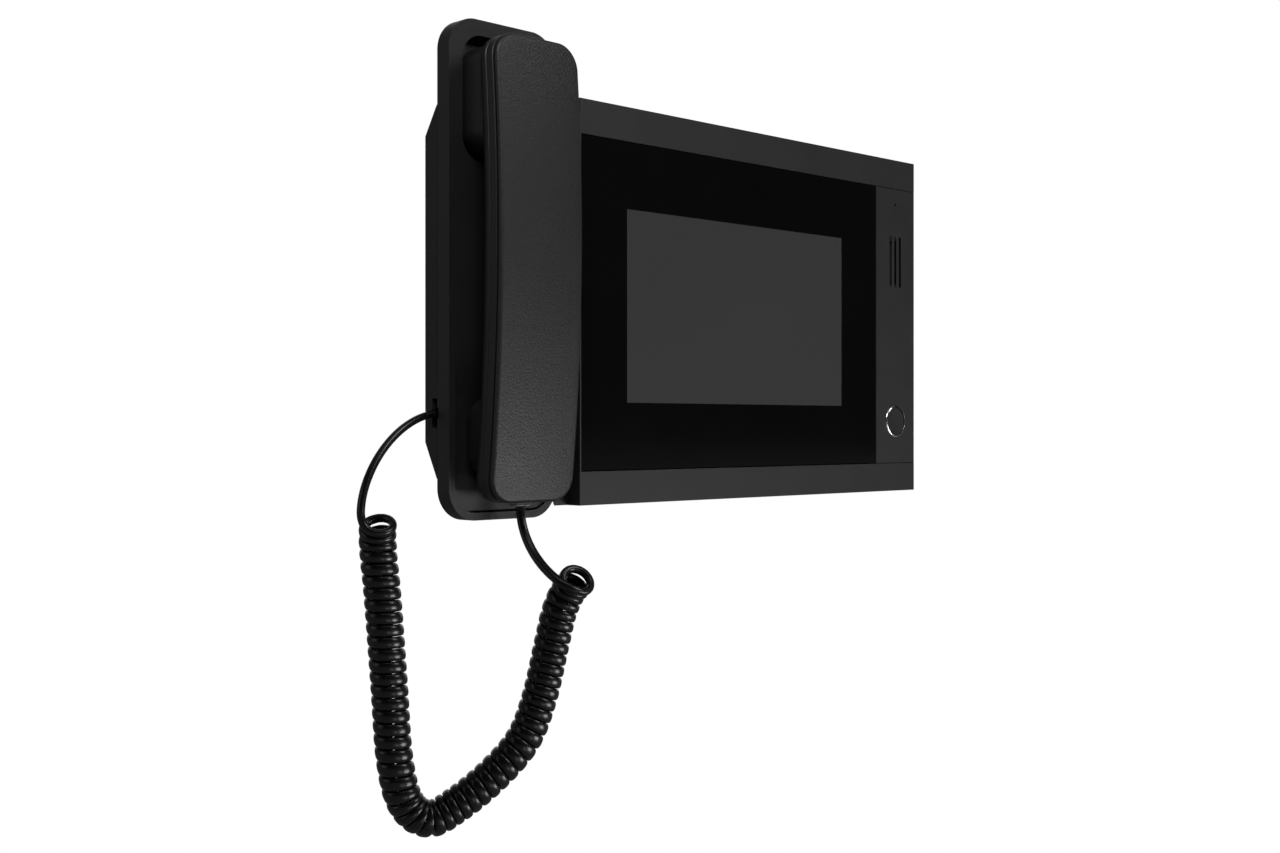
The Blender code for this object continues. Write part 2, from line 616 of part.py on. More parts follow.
def make_call_key():
    key = (STRIP_CENTRE_X, KEY_Z)
    seat = RECESS_FLOOR + GAP
    ring("key_ring", (KEY_RADIUS + GAP, KEY_RING_RADIUS), (seat, PANEL_DEPTH + GAP), key, "chrome", 32)
    cap_face = PANEL_DEPTH + 0.1 * MM
    stem = 2.4 * MM
    cap = [
        (0.0, cap_face),
        (KEY_RADIUS - 0.3 * MM, cap_face),
        (KEY_RADIUS, cap_face - 0.3 * MM),
        (KEY_RADIUS, seat + KEY_TRAVEL + GAP),
        (stem, seat + KEY_TRAVEL + GAP),
        (stem, 18.3 * MM),
        (0.0, 18.3 * MM),
    ]
    turned("call_key_cap", cap, key, "black_plastic", steps=32)
    rod("switch_actuator", 1.6 * MM, (16.2 * MM, 18.0 * MM), key, "black_plastic", 16)
    body = block("key_switch_body", (key[0] - 3 * MM, key[0] + 3 * MM), (13.6 * MM, 16.6 * MM),
                 (key[1] - 3 * MM, key[1] + 3 * MM), "steel")
    cut(body, rod("switch_bore_cutter", 2.0 * MM, (15.0 * MM, 0.03), key, steps=16))
    block("key_board", (key[0] - 9 * MM, key[0] + 9 * MM), (12.0 * MM, 13.3 * MM),
          (key[1] - 13 * MM, key[1] + 13 * MM), "board")


def make_sound_parts():
    speaker = (STRIP_CENTRE_X - 0.4 * MM, SPEAKER_Z)
    ring("speaker_gasket", (10.5 * MM, 13.0 * MM), (16.1 * MM, 17.1 * MM), speaker, "rubber")
    basket = [
        (12.0 * MM, 15.8 * MM),
        (13.0 * MM, 15.8 * MM),
        (13.0 * MM, 14.2 * MM),
        (8.0 * MM, 11.6 * MM),
        (6.0 * MM, 11.6 * MM),
        (6.0 * MM, 12.4 * MM),
        (7.6 * MM, 12.4 * MM),
        (12.0 * MM, 14.8 * MM),
    ]
    turned("speaker_basket", basket, speaker, "steel", closed=True, steps=24)
    cone = [
        (0.0, 14.6 * MM),
        (4.0 * MM, 14.2 * MM),
        (10.6 * MM, 15.5 * MM),
        (10.6 * MM, 15.1 * MM),
        (4.0 * MM, 13.7 * MM),
        (0.0, 14.1 * MM),
    ]
    turned("speaker_cone", cone, speaker, "paper_cone", steps=24)
    rod("speaker_magnet", 5.6 * MM, (11.0 * MM, 13.2 * MM), speaker, "steel")
    mesh_x = (STRIP_CENTRE_X - 5.5 * MM, STRIP_CENTRE_X + 5.5 * MM)
    mesh_z = (SPEAKER_Z - 11 * MM, SPEAKER_Z + 11 * MM)
    block("speaker_mesh", mesh_x, (18.2 * MM, 18.6 * MM), mesh_z, "rubber")
    microphone = (STRIP_CENTRE_X, MIC_Z)
    ring("microphone_boot", (3.3 * MM, 4.6 * MM), (13.6 * MM, 17.1 * MM), microphone, "rubber")
    rod("microphone_capsule", 3.0 * MM, (14.0 * MM, 16.8 * MM), microphone, "steel")


def make_main_board():
    board_x = (-95 * MM, 79 * MM)
    board_z = (-54 * MM, 54 * MM)
    board = block("main_board", board_x, (9.2 * MM, 10.8 * MM), board_z, "board")
    for i, place in enumerate(board_screw_places()):
        cut(board, rod(f"board_hole_cutter_{i}", SCREW_HOLE_RADIUS, (0.0, 0.03), place, steps=12))
        screw(f"board_screw_{i + 1}", place, 12.3 * MM, 6.0 * MM)
    block("board_shield", (-30 * MM, 10 * MM), (11.1 * MM, 13.6 * MM), (-15 * MM, 20 * MM), "steel")
    for name, x, z in (("door_connector_1", 26 * MM, 7 * MM), ("door_connector_2", 42 * MM, 7 * MM),
                       ("power_connector", 34 * MM, -8 * MM)):
        header = block(name, (x - 6 * MM, x + 6 * MM), (4.2 * MM, 8.9 * MM), (z - 4 * MM, z + 4 * MM),
                       "green_plastic")
        cut(header, block(name + "_cutter", (x - 5 * MM, x + 5 * MM), (0.0, 7.5 * MM),
                          (z - 2.5 * MM, z + 2.5 * MM)))
    ribbon = [
        (11.1 * MM, -40 * MM),
        (11.4 * MM, -40 * MM),
        (11.4 * MM, -52.5 * MM),
        (12.6 * MM, -53.5 * MM),
        (13.6 * MM, -52.5 * MM),
        (13.6 * MM, -44 * MM),
        (13.9 * MM, -44 * MM),
        (13.9 * MM, -52.6 * MM),
        (12.6 * MM, -53.9 * MM),
        (11.1 * MM, -52.6 * MM),
    ]
    prism("display_ribbon", ribbon, (-30 * MM, 0.0), "copper")


def make_screws():
    for i, place in enumerate(panel_screw_places()):
        screw(f"panel_screw_{i + 1}", place, 0.6 * MM, 9.0 * MM, outward=False)
    for i, place in enumerate(cradle_screw_places()):
        screw(f"cradle_screw_{i + 1}", place, 3.0 * MM, 8.0 * MM, outward=False)


def make_hook_switch():
    """Plunger that the handset's mouth block holds in, with its spring inside it."""
    plunger = (CRADLE_X, HOOK_Z)
    tip = MOUTH_TIP - GAP
    bore = 2.2 * MM
    profile = [
        (0.0, tip),
        (PLUNGER_RADIUS - 0.4 * MM, tip),
        (PLUNGER_RADIUS, tip - 0.4 * MM),
        (PLUNGER_RADIUS, FLANGE_DEPTH[1]),
        (FLANGE_RADIUS, FLANGE_DEPTH[1]),
        (FLANGE_RADIUS, FLANGE_DEPTH[0]),
        (bore, FLANGE_DEPTH[0]),
        (bore, tip - 1.6 * MM),
        (0.0, tip - 1.6 * MM),
    ]
    turned("hook_plunger", profile, plunger, "black_plastic")
    turns = 5
    steps = 8
    low = HOUSING_FLOOR + GAP + 0.3 * MM
    high = tip - 1.6 * MM - GAP - 0.3 * MM
    points = []
    for i in range(turns * steps + 1):
        angle = math.tau * i / steps
        depth = low + (high - low) * i / (turns * steps)
        points.append(Vector((plunger[0] + 1.5 * MM * math.cos(angle), -depth,
                              plunger[1] + 1.5 * MM * math.sin(angle))))
    wire("hook_spring", points, 0.28 * MM, "steel", resolution=1)
    block("hook_switch", (CRADLE_X + 5.4 * MM, CRADLE_X + 12 * MM), (3.8 * MM, 7.8 * MM),
          (HOOK_Z - 3 * MM, HOOK_Z + 9 * MM), "black_plastic")
    block("cord_strain_relief", (CRADLE_LEFT + 4.2 * MM, CRADLE_LEFT + 12 * MM), (3.8 * MM, 8.0 * MM),
          (CORD_SLOT_Z - 5 * MM, CORD_SLOT_Z + 5 * MM), "rubber")


def block_outline(span, width, inset):
    centre = (CRADLE_X, (span[0] + span[1]) / 2)
    return rounded_rectangle(centre, width - 2 * inset, span[1] - span[0] - 2 * inset,
                             BLOCK_CORNER - inset, 5)


def block_root(span):
    """Depth at which an ear or mouth block ends inside the rear shell."""
    return min(handset_face(z) for z in span) - REAR_START - GAP


def make_handset():
    handset_layer("handset_front_cover", 0.0, COVER_THICKNESS, "handset_plastic")
    band = handset_layer("handset_side_band", BAND_START, BAND_END, "handset_plastic")
    cut(band, handset_layer("band_cutter", -0.02, 0.03, inset=SHELL_WALL))
    rear = handset_layer("handset_rear_shell", REAR_START, REAR_END, "handset_plastic",
                         taper=REAR_TAPER, shoulder=REAR_SIDE_END)
    blocks = (("ear", EAR_BLOCK, EAR_BLOCK_WIDTH, EAR_TIP),
              ("mouth", MOUTH_BLOCK, MOUTH_BLOCK_WIDTH, MOUTH_TIP))
    for name, span, width, tip in blocks:
        join(rear, slab(f"{name}_block", block_outline(span, width, 0.0), (tip, block_root(span))))
    cut(rear, handset_layer("rear_cutter", -0.02, REAR_END - SHELL_WALL, inset=SHELL_WALL,
                            taper=REAR_TAPER, shoulder=REAR_SIDE_END - 0.5 * MM))
    for name, span, width, tip in blocks:
        cut(rear, slab(f"{name}_block_cutter", block_outline(span, width, SHELL_WALL),
                       (tip + SHELL_WALL, block_root(span) + 1 * MM)))
    jack_z = (HANDSET_BOTTOM - 5 * MM, HANDSET_BOTTOM + 14 * MM)
    jack_x = (CRADLE_X - 6 * MM, CRADLE_X + 6 * MM)
    opening = block("jack_opening_cutter", jack_x, (22.6 * MM, 30.2 * MM), jack_z)
    cut(rear, opening)
    cut(band, opening)


def make_handset_insides():
    ear = (CRADLE_X, 80 * MM)
    turned("ear_speaker_basket", [
        (0.0, 20.0 * MM),
        (7.0 * MM, 20.0 * MM),
        (14.5 * MM, 16.6 * MM),
        (14.5 * MM, 15.0 * MM),
        (13.6 * MM, 15.0 * MM),
        (13.6 * MM, 16.0 * MM),
        (6.6 * MM, 19.0 * MM),
        (0.0, 19.0 * MM),
    ], ear, "steel", steps=24)
    turned("ear_speaker_cone", [
        (0.0, 15.4 * MM),
        (13.2 * MM, 15.4 * MM),
        (13.2 * MM, 15.0 * MM),
        (5.0 * MM, 14.4 * MM),
        (0.0, 14.2 * MM),
    ], ear, "paper_cone", steps=24)
    rod("ear_speaker_magnet", 6.0 * MM, (20.3 * MM, 23.6 * MM), ear, "steel")
    rod("handset_microphone", 4.8 * MM, (15.0 * MM, 20.2 * MM), (CRADLE_X, -62 * MM), "steel")
    block("handset_weight", (CRADLE_X - 11 * MM, CRADLE_X + 11 * MM), (30.2 * MM, 33.6 * MM),
          (-22 * MM, 42 * MM), "steel")
    jack_x = (CRADLE_X - 5.6 * MM, CRADLE_X + 5.6 * MM)
    jack = block("cord_jack", jack_x, (23.0 * MM, 29.8 * MM),
                 (HANDSET_BOTTOM + 2.4 * MM, HANDSET_BOTTOM + 13.6 * MM), "black_plastic")
    plug_x = (CRADLE_X - 3.9 * MM, CRADLE_X + 3.9 * MM)
    plug_depth = (24.4 * MM, 28.6 * MM)
    plug_z = (HANDSET_BOTTOM - 1.6 * MM, HANDSET_BOTTOM + 9.4 * MM)
    cut(jack, block("jack_socket_cutter", (plug_x[0] - GAP, plug_x[1] + GAP),
                    (plug_depth[0] - GAP, plug_depth[1] + GAP), (plug_z[0], plug_z[1] + GAP)))
    plug = block("cord_plug", plug_x, plug_depth, plug_z, "clear_plastic")
    comb_x = (CRADLE_X - 2.6 * MM, CRADLE_X + 2.6 * MM)
    comb_z = (plug_z[0] + 6.4 * MM, plug_z[1] - 1.2 * MM)
    cut(plug, block("plug_comb_cutter", (comb_x[0] - GAP, comb_x[1] + GAP),
                    (plug_depth[1] - 1.6 * MM, 0.05), (comb_z[0] - GAP, comb_z[1] + GAP)))
    comb = block("plug_contacts", comb_x, (plug_depth[1] - 1.2 * MM, plug_depth[1] - 0.1 * MM), comb_z,
                 "copper")
    for i in range(3):
        x = CRADLE_X + (i - 1) * 1.3 * MM
        cut(comb, block(f"contact_gap_cutter_{i}", (x - 0.3 * MM, x + 0.3 * MM),
                        (plug_depth[1] - 0.8 * MM, 0.05), (comb_z[0] - 1 * MM, comb_z[1] + 1 * MM)))
    for i, z in enumerate((EAR_BLOCK[0] + 6 * MM, MOUTH_BLOCK[1] - 6 * MM)):
        screw(f"handset_screw_{i + 1}", (CRADLE_X, z), handset_face(z) - REAR_START - 1.0 * MM, 3.0 * MM)


def wire(name, points, radius, finish, resolution=2):
    curve = bpy.data.curves.new(name, "CURVE")
    curve.dimensions = "3D"
    curve.bevel_depth = radius
    curve.bevel_resolution = resolution
    curve.use_fill_caps = True
    spline = curve.splines.new("POLY")
    spline.points.add(len(points) - 1)
    for target, point in zip(spline.points, points):
        target.co = (*point, 1.0)
    return finish_object(curve_to_mesh_object(name, curve, Matrix.Identity(4)), finish)


def smooth_path(points, samples):
    """Catmull-Rom curve through the points, sampled evenly along its length."""
    padded = [2 * points[0] - points[1], *points, 2 * points[-1] - points[-2]]
    fine = []
    per_span = 24
    for a, b, c, d in zip(padded, padded[1:], padded[2:], padded[3:]):
        for i in range(per_span):
            t = i / per_span
            fine.append(0.5 * (2 * b + (c - a) * t + (2 * a - 5 * b + 4 * c - d) * t ** 2
                               + (3 * b - a - 3 * c + d) * t ** 3))
    fine.append(points[-1])
    lengths = [0.0]
    for a, b in zip(fine, fine[1:]):
        lengths.append(lengths[-1] + (b - a).length)
    even = []
    index = 0
    for i in range(samples + 1):
        target = lengths[-1] * i / samples
        while index < len(lengths) - 2 and lengths[index + 1] < target:
            index += 1
        span = lengths[index + 1] - lengths[index]
        even.append(fine[index].lerp(fine[index + 1], (target - lengths[index]) / span))
    return even, lengths[-1]


def coil_axis():
    across = (HANG_END - HANG_START).normalized()
    points = [
        HANG_START + across * along * MM + Vector((0.0, 0.0, height * MM))
        for along, height in COIL_AXIS
    ]
    return smooth_path(points, 200)


def coil_points():
    """Left-handed coil about its hanging axis, opened up where the axis bends."""
    axis, length = coil_axis()
    across = (HANG_END - HANG_START).normalized()
    facing = across.cross(Vector((0.0, 0.0, 1.0))).normalized()
    step = length / (len(axis) - 1)
    turns = 0.0
    stations = []
    for i in range(len(axis)):
        before = axis[max(i - 1, 0)]
        after = axis[min(i + 1, len(axis) - 1)]
        tangent = (after - before).normalized()
        ahead = axis[min(i + 4, len(axis) - 1)] - axis[min(i + 3, len(axis) - 2)]
        behind = axis[max(i - 3, 1)] - axis[max(i - 4, 0)]
        bend = ahead.angle(behind) / (7 * step) * COIL_RADIUS
        pitch = COIL_PITCH + (BEND_PITCH - COIL_PITCH) * min(bend / 0.4, 1.0)
        stations.append((axis[i], tangent, turns))
        turns += step / pitch
    total = stations[-1][2]
    # the last half turn brings the tail to the coil's left side
    wound = round(total) + 0.5 - COIL_START
    points = []
    count = int(wound * COIL_STEPS_PER_TURN)
    index = 0
    for k in range(count + 1):
        turn = total * k / count
        while index < len(stations) - 2 and stations[index + 1][2] < turn:
            index += 1
        a, b = stations[index], stations[index + 1]
        blend = (turn - a[2]) / (b[2] - a[2])
        centre = a[0].lerp(b[0], blend)
        tangent = a[1].lerp(b[1], blend).normalized()
        side = tangent.cross(facing).normalized()
        angle = math.tau * (wound * k / count + COIL_START)
        offset = side * math.cos(angle) + facing * math.sin(angle)
        points.append(centre + offset * COIL_RADIUS)
    return points


def bezier_points(a, b, c, d, count):
    points = []
    for i in range(count):
        t = i / count
        s = 1 - t
        points.append(a * s ** 3 + b * 3 * s * s * t + c * 3 * s * t * t + d * t ** 3)
    return points


def make_cord():
    coil = coil_points()
    leave = (coil[0] - coil[1]).normalized()
    exit_point = Vector((CRADLE_LEFT + 1.5 * MM, -CORD_DEPTH, CORD_SLOT_Z))
    knee = coil[0] + leave * KNEE_BACK + Vector((0.0, 0.0, KNEE_RISE))
    lead = bezier_points(exit_point, exit_point + LEAD_SWING, knee + LEAD_FALL, knee, 10)
    lead += bezier_points(knee, knee - Vector((0.0, 0.0, KNEE_EASE)),
                          coil[0] + leave * JOINT_EASE, coil[0], 5)
    arrive = (coil[-1] - coil[-2]).normalized()
    plug = Vector((CRADLE_X, -26.5 * MM, HANDSET_BOTTOM - 2.2 * MM))
    tail = bezier_points(coil[-1], coil[-1] + arrive * TAIL_EASE, plug + TAIL_FALL, plug, 12)
    wire("coiled_cord", lead + coil + tail[1:] + [plug], WIRE_RADIUS, "cord", resolution=1)


def main():
    clear_scene()
    make_wall_bracket()
    make_rear_housing()
    make_handset_cradle()
    make_front_frame()
    make_glass_and_display()
    make_control_strip()
    make_call_key()
    make_sound_parts()
    make_main_board()
    make_screws()
    make_hook_switch()
    make_handset()
    make_handset_insides()
    make_cord()


main()
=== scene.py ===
"""Looks for the wall-mounted video intercom monitor: fine meshes, materials, light and camera.

X runs right along the wall, Y into the wall, Z up, in metres. "Depth" is a distance out from the
wall, so y = -depth. Where pieces meet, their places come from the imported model's boxes.
"""

import json
from math import copysign, cos, pi, radians, sin, tau

import bmesh
import bpy
from mathutils import Matrix, Quaternion, Vector

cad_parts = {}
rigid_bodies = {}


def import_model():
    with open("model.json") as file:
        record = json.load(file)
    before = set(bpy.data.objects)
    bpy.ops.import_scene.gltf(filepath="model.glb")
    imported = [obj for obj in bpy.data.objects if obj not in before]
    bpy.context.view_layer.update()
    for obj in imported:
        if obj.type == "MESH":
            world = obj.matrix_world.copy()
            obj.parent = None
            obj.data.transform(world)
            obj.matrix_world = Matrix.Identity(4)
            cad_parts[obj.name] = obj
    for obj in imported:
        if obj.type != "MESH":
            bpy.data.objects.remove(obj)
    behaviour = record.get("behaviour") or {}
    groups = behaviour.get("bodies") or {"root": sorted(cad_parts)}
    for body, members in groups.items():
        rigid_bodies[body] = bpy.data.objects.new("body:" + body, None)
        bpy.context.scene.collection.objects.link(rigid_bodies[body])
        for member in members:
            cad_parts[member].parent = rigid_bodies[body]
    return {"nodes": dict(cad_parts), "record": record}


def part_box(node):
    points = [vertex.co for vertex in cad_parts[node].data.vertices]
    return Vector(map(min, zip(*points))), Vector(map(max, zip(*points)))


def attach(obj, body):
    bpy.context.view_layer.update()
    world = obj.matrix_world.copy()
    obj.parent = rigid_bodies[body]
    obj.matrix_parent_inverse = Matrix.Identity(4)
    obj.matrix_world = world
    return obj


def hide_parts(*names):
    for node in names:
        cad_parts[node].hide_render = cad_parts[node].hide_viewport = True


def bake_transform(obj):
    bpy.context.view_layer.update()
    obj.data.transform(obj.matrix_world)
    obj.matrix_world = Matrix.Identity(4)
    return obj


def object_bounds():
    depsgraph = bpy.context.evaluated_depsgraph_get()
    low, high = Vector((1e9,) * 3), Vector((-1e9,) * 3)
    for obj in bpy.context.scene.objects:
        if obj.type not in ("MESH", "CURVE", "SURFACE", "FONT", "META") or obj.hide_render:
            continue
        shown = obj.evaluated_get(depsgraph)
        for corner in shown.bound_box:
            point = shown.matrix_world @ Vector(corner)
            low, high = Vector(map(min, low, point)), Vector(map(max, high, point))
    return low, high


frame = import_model()
CAD_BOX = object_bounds()

MM = 0.001
SCRATCH = bpy.data.collections.new("scratch")
bpy.context.scene.collection.children.link(SCRATCH)


# ---- places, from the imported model

def widen(span, margin):
    return (span[0] - margin, span[1] + margin)


def around(middle, width):
    return (middle - width / 2, middle + width / 2)


class Extent:
    """A node's box as X, depth and Z ranges."""

    def __init__(self, node):
        low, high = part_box(node)
        self.x = (low.x, high.x)
        self.z = (low.z, high.z)
        self.depth = (-high.y, -low.y)
        self.centre_x = (low.x + high.x) / 2
        self.centre_z = (low.z + high.z) / 2
        self.centre = (self.centre_x, self.centre_z)
        self.width = high.x - low.x
        self.height = high.z - low.z


CRADLE = Extent("handset_cradle")
HOUSING = Extent("rear_housing")
FRAME = Extent("front_frame")
GLASS = Extent("front_glass")
STRIP = Extent("control_strip")
BRACKET = Extent("wall_bracket")
KEY_RING = Extent("key_ring")
KEY_CAP = Extent("call_key_cap")
COVER = Extent("handset_front_cover")
REAR = Extent("handset_rear_shell")
PLUG = Extent("cord_plug")
CONTACTS = Extent("plug_contacts")
EAR_SPEAKER = Extent("ear_speaker_basket")
MOUTH_MIC = Extent("handset_microphone")
MIC = Extent("microphone_capsule")
LCD = Extent("lcd_panel")
LCD_TRAY = Extent("lcd_tray")
SPEAKER_CLOTH = Extent("speaker_mesh")
PLUNGER = Extent("hook_plunger")

GAP = 0.3 * MM
SCREEN_SIZE = (154.1 * MM, 85.9 * MM)
FAR_FRONT = 40.0 * MM               # tools that cut through the base's pieces run past these depths
FAR_BACK = -10.0 * MM
THROUGH = (0.0, FAR_FRONT)
SCREWS = (1, 2, 3, 4)


# ---- mesh helpers

def add_object(name, data):
    item = bpy.data.objects.new(name, data)
    bpy.context.scene.collection.objects.link(item)
    return item


def object_from_bmesh(name, form):
    mesh = bpy.data.meshes.new(name)
    bmesh.ops.recalc_face_normals(form, faces=form.faces)
    form.to_mesh(mesh)
    form.free()
    return add_object(name, mesh)


def apply_modifiers(item):
    """Put the evaluated mesh on the object and drop its modifiers."""
    bpy.context.view_layer.update()
    evaluated = item.evaluated_get(bpy.context.evaluated_depsgraph_get())
    mesh = bpy.data.meshes.new_from_object(evaluated)
    old = item.data
    item.modifiers.clear()
    item.data = mesh
    mesh.name = item.name
    bpy.data.meshes.remove(old)


def combine(item, tool, operation):
    """Boolean a tool into an item; the tool goes to the scratch collection."""
    bpy.context.scene.collection.objects.unlink(tool)
    SCRATCH.objects.link(tool)
    tool.hide_render = True
    modifier = item.modifiers.new(operation.lower(), "BOOLEAN")
    modifier.operation = operation
    modifier.solver = "EXACT"
    modifier.object = tool


def cut(item, tool):
    combine(item, tool, "DIFFERENCE")


def add(item, tool):
    combine(item, tool, "UNION")


def remove_tools():
    for tool in list(SCRATCH.objects):
        bpy.data.objects.remove(tool, do_unlink=True)
    bpy.data.collections.remove(SCRATCH)


def round_edges(item, width, segments=3, angle=32.0):
    """Weld the mesh and bevel its sharp edges."""
    weld = item.modifiers.new("weld", "WELD")
    weld.merge_threshold = 0.01 * MM
    bevel = item.modifiers.new("bevel", "BEVEL")
    bevel.width = width
    bevel.segments = segments
    bevel.limit_method = "ANGLE"
    bevel.angle_limit = radians(angle)
    bevel.use_clamp_overlap = True
    bevel.miter_outer = "MITER_ARC"


def smooth(item, angle):
    item.data.shade_smooth()
    item.data.set_sharp_from_angle(angle=radians(angle))


def soften(item, width, segments=3, angle=32.0, sharp=35.0):
    """Apply the cuts, round the edges, and weight the normals so that flat faces stay flat."""
    apply_modifiers(item)
    round_edges(item, width, segments, angle)
    apply_modifiers(item)
    smooth(item, sharp)
    modifier = item.modifiers.new("normals", "WEIGHTED_NORMAL")
    modifier.keep_sharp = True
    apply_modifiers(item)


def block(name, x, depth, z):
    form = bmesh.new()
    size = (x[1] - x[0], depth[1] - depth[0], z[1] - z[0])
    middle = ((x[0] + x[1]) / 2, -(depth[0] + depth[1]) / 2, (z[0] + z[1]) / 2)
    matrix = Matrix.Translation(middle) @ Matrix.Diagonal((*size, 1.0))
    bmesh.ops.create_cube(form, size=1.0, matrix=matrix)
    return object_from_bmesh(name, form)


def rounded_rectangle(centre, width, height, radius, steps=10):
    dx = width / 2 - radius
    dz = height / 2 - radius
    points = []
    for sx, sz, start in ((1, 1, 0), (-1, 1, 90), (-1, -1, 180), (1, -1, 270)):
        for i in range(steps + 1):
            angle = radians(start + 90 * i / steps)
            points.append((centre[0] + sx * dx + radius * cos(angle),
                           centre[1] + sz * dz + radius * sin(angle)))
    return points


def drawn_out(name, corners, run):
    """Flat outline drawn out along a vector."""
    form = bmesh.new()
    face = form.faces.new([form.verts.new(corner) for corner in corners])
    made = bmesh.ops.extrude_face_region(form, geom=[face])
    moved = [v for v in made["geom"] if isinstance(v, bmesh.types.BMVert)]
    bmesh.ops.translate(form, verts=moved, vec=run)
    return object_from_bmesh(name, form)


def slab(name, outline, depth):
    """Outline in (X, Z), given thickness between two depths."""
    corners = [(x, -depth[0], z) for x, z in outline]
    return drawn_out(name, corners, (0, depth[0] - depth[1], 0))


def prism(name, outline, x):
    """Outline in (depth, Z), drawn out between two X values."""
    corners = [(x[0], -depth, z) for depth, z in outline]
    return drawn_out(name, corners, (x[1] - x[0], 0, 0))


def bridge(form, a, b):
    """Band of faces between two loops of the same length."""
    count = len(a)
    for i in range(count):
        j = (i + 1) % count
        form.faces.new((a[i], a[j], b[j], b[i]))


def turned(name, profile, centre, steps=48, closed=False):
    """Turn (radius, depth) points about an axis out of the wall at (X, Z)."""
    form = bmesh.new()
    loops = []
    for radius, depth in profile:
        loops.append([
            form.verts.new((centre[0] + radius * cos(tau * i / steps), -depth,
                            centre[1] + radius * sin(tau * i / steps)))
            for i in range(steps if radius else 1)
        ])
    pairs = list(zip(loops, loops[1:]))
    if closed:
        pairs.append((loops[-1], loops[0]))
    for a, b in pairs:
        if len(a) == len(b):
            bridge(form, a, b)
            continue
        for i in range(steps):
            j = (i + 1) % steps
            form.faces.new((a[0], b[i], b[j]) if len(a) == 1 else (a[i], a[j], b[0]))
    return object_from_bmesh(name, form)


def rod(name, radius, depth, centre, steps=32):
    profile = [(0, depth[1]), (radius, depth[1]), (radius, depth[0]), (0, depth[0])]
    return turned(name, profile, centre, steps)


def quarter_turn(steps, first=0):
    """(cosine, sine) of the angles from 0 to a right angle in even steps."""
    angles = [pi / 2 * i / steps for i in range(first, steps + 1)]
    return [(cos(angle), sin(angle)) for angle in angles]


# ---- materials

def add_node(tree, kind, inputs=None, **settings):
    """New shader node with its settings, and its inputs as plain values or as links."""
    node = tree.nodes.new("ShaderNode" + kind)
    for setting, value in settings.items():
        setattr(node, setting, value)
    for socket, value in (inputs or {}).items():
        if isinstance(value, bpy.types.NodeSocket):
            tree.links.new(value, node.inputs[socket])
        else:
            node.inputs[socket].default_value = value
    return node


def ramp(tree, value, low, high):
    """Map 0..1 onto low..high."""
    inputs = {"To Min": low, "To Max": high, "Value": value}
    return add_node(tree, "MapRange", inputs).outputs["Result"]


def maths(tree, operation, first, second):
    return add_node(tree, "Math", {0: first, 1: second}, operation=operation).outputs["Value"]


class Surface:
    """A procedural material in the making, its textures placed in the object's own metres."""

    def __init__(self, name):
        self.material = bpy.data.materials.new(name)
        self.material.use_nodes = True
        self.tree = self.material.node_tree
        self.shader = self.tree.nodes["Principled BSDF"]
        self.place = add_node(self.tree, "TexCoord").outputs["Object"]

    def set(self, level, value):
        """Give the shader a plain value or link one to it."""
        if isinstance(value, float):
            self.shader.inputs[level].default_value = value
        else:
            self.tree.links.new(value, self.shader.inputs[level])

    def noise(self, scale, detail=3.0):
        inputs = {"Scale": scale, "Detail": detail, "Roughness": 0.55, "Vector": self.place}
        return add_node(self.tree, "TexNoise", inputs).outputs["Fac"]

    def cells(self, scale, **smoothness):
        """Distance from the middles of irregular cells, which run together where smoothed."""
        feature = "SMOOTH_F1" if smoothness else "F1"
        inputs = {"Scale": scale, "Vector": self.place, **smoothness}
        return add_node(self.tree, "TexVoronoi", inputs, feature=feature).outputs["Distance"]

    def weighted(self, first, first_share, second, second_share):
        """Sum of two values, each times its share."""
        return maths(self.tree, "ADD", maths(self.tree, "MULTIPLY", first, first_share),
                     maths(self.tree, "MULTIPLY", second, second_share))

    def colour(self, value, *ends):
        """Base colour between two ends by a value; one number stands for a grey."""
        first, second = [(end,) * 3 if isinstance(end, float) else end for end in ends]
        inputs = {"A": (*first, 1.0), "B": (*second, 1.0), "Factor": value}
        self.set("Base Color", add_node(self.tree, "Mix", inputs, data_type="RGBA").outputs["Result"])

    def roughness(self, value, low, high):
        self.set("Roughness", ramp(self.tree, value, low, high))

    def bump(self, height, strength, distance):
        inputs = {"Strength": strength, "Distance": distance, "Height": height}
        self.set("Normal", add_node(self.tree, "Bump", inputs).outputs["Normal"])


def moulded_plastic(surface, dark, light, roughness, grain, grain_depth=0.06 * MM):
    """Spark-eroded moulded plastic: fine grain, with slow drifts in tone and gloss."""
    fine = surface.noise(grain, 2.0)
    slow = surface.noise(45.0, 4.0)
    surface.colour(maths(surface.tree, "MULTIPLY", fine, slow), dark, light)
    surface.roughness(slow, roughness - 0.05, roughness + 0.07)
    surface.bump(fine, 0.5, grain_depth)


def pebbled_plastic(surface):
    """Leather-like pebble grain: rounded cells with fine noise on top."""
    pebble = surface.cells(1250.0, Smoothness=0.35)
    surface.colour(pebble, (0.019, 0.019, 0.0195), (0.008, 0.008, 0.0085))
    surface.roughness(surface.noise(38.0, 4.0), 0.4, 0.52)
    surface.bump(surface.weighted(pebble, -1.0, surface.noise(3000.0, 2.0), 0.35), 0.55, 0.14 * MM)


def cord_jacket(surface):
    """Smooth extruded jacket: slow ripples in its skin, faint scuffs in its gloss."""
    scuff = surface.noise(900.0, 4.0)
    surface.colour(scuff, (0.009, 0.009, 0.0095), (0.0135, 0.0135, 0.01425))
    surface.roughness(scuff, 0.221, 0.312)
    surface.bump(surface.noise(120.0, 1.0), 0.02, 0.1 * MM)
    surface.set("Specular IOR Level", 0.6)


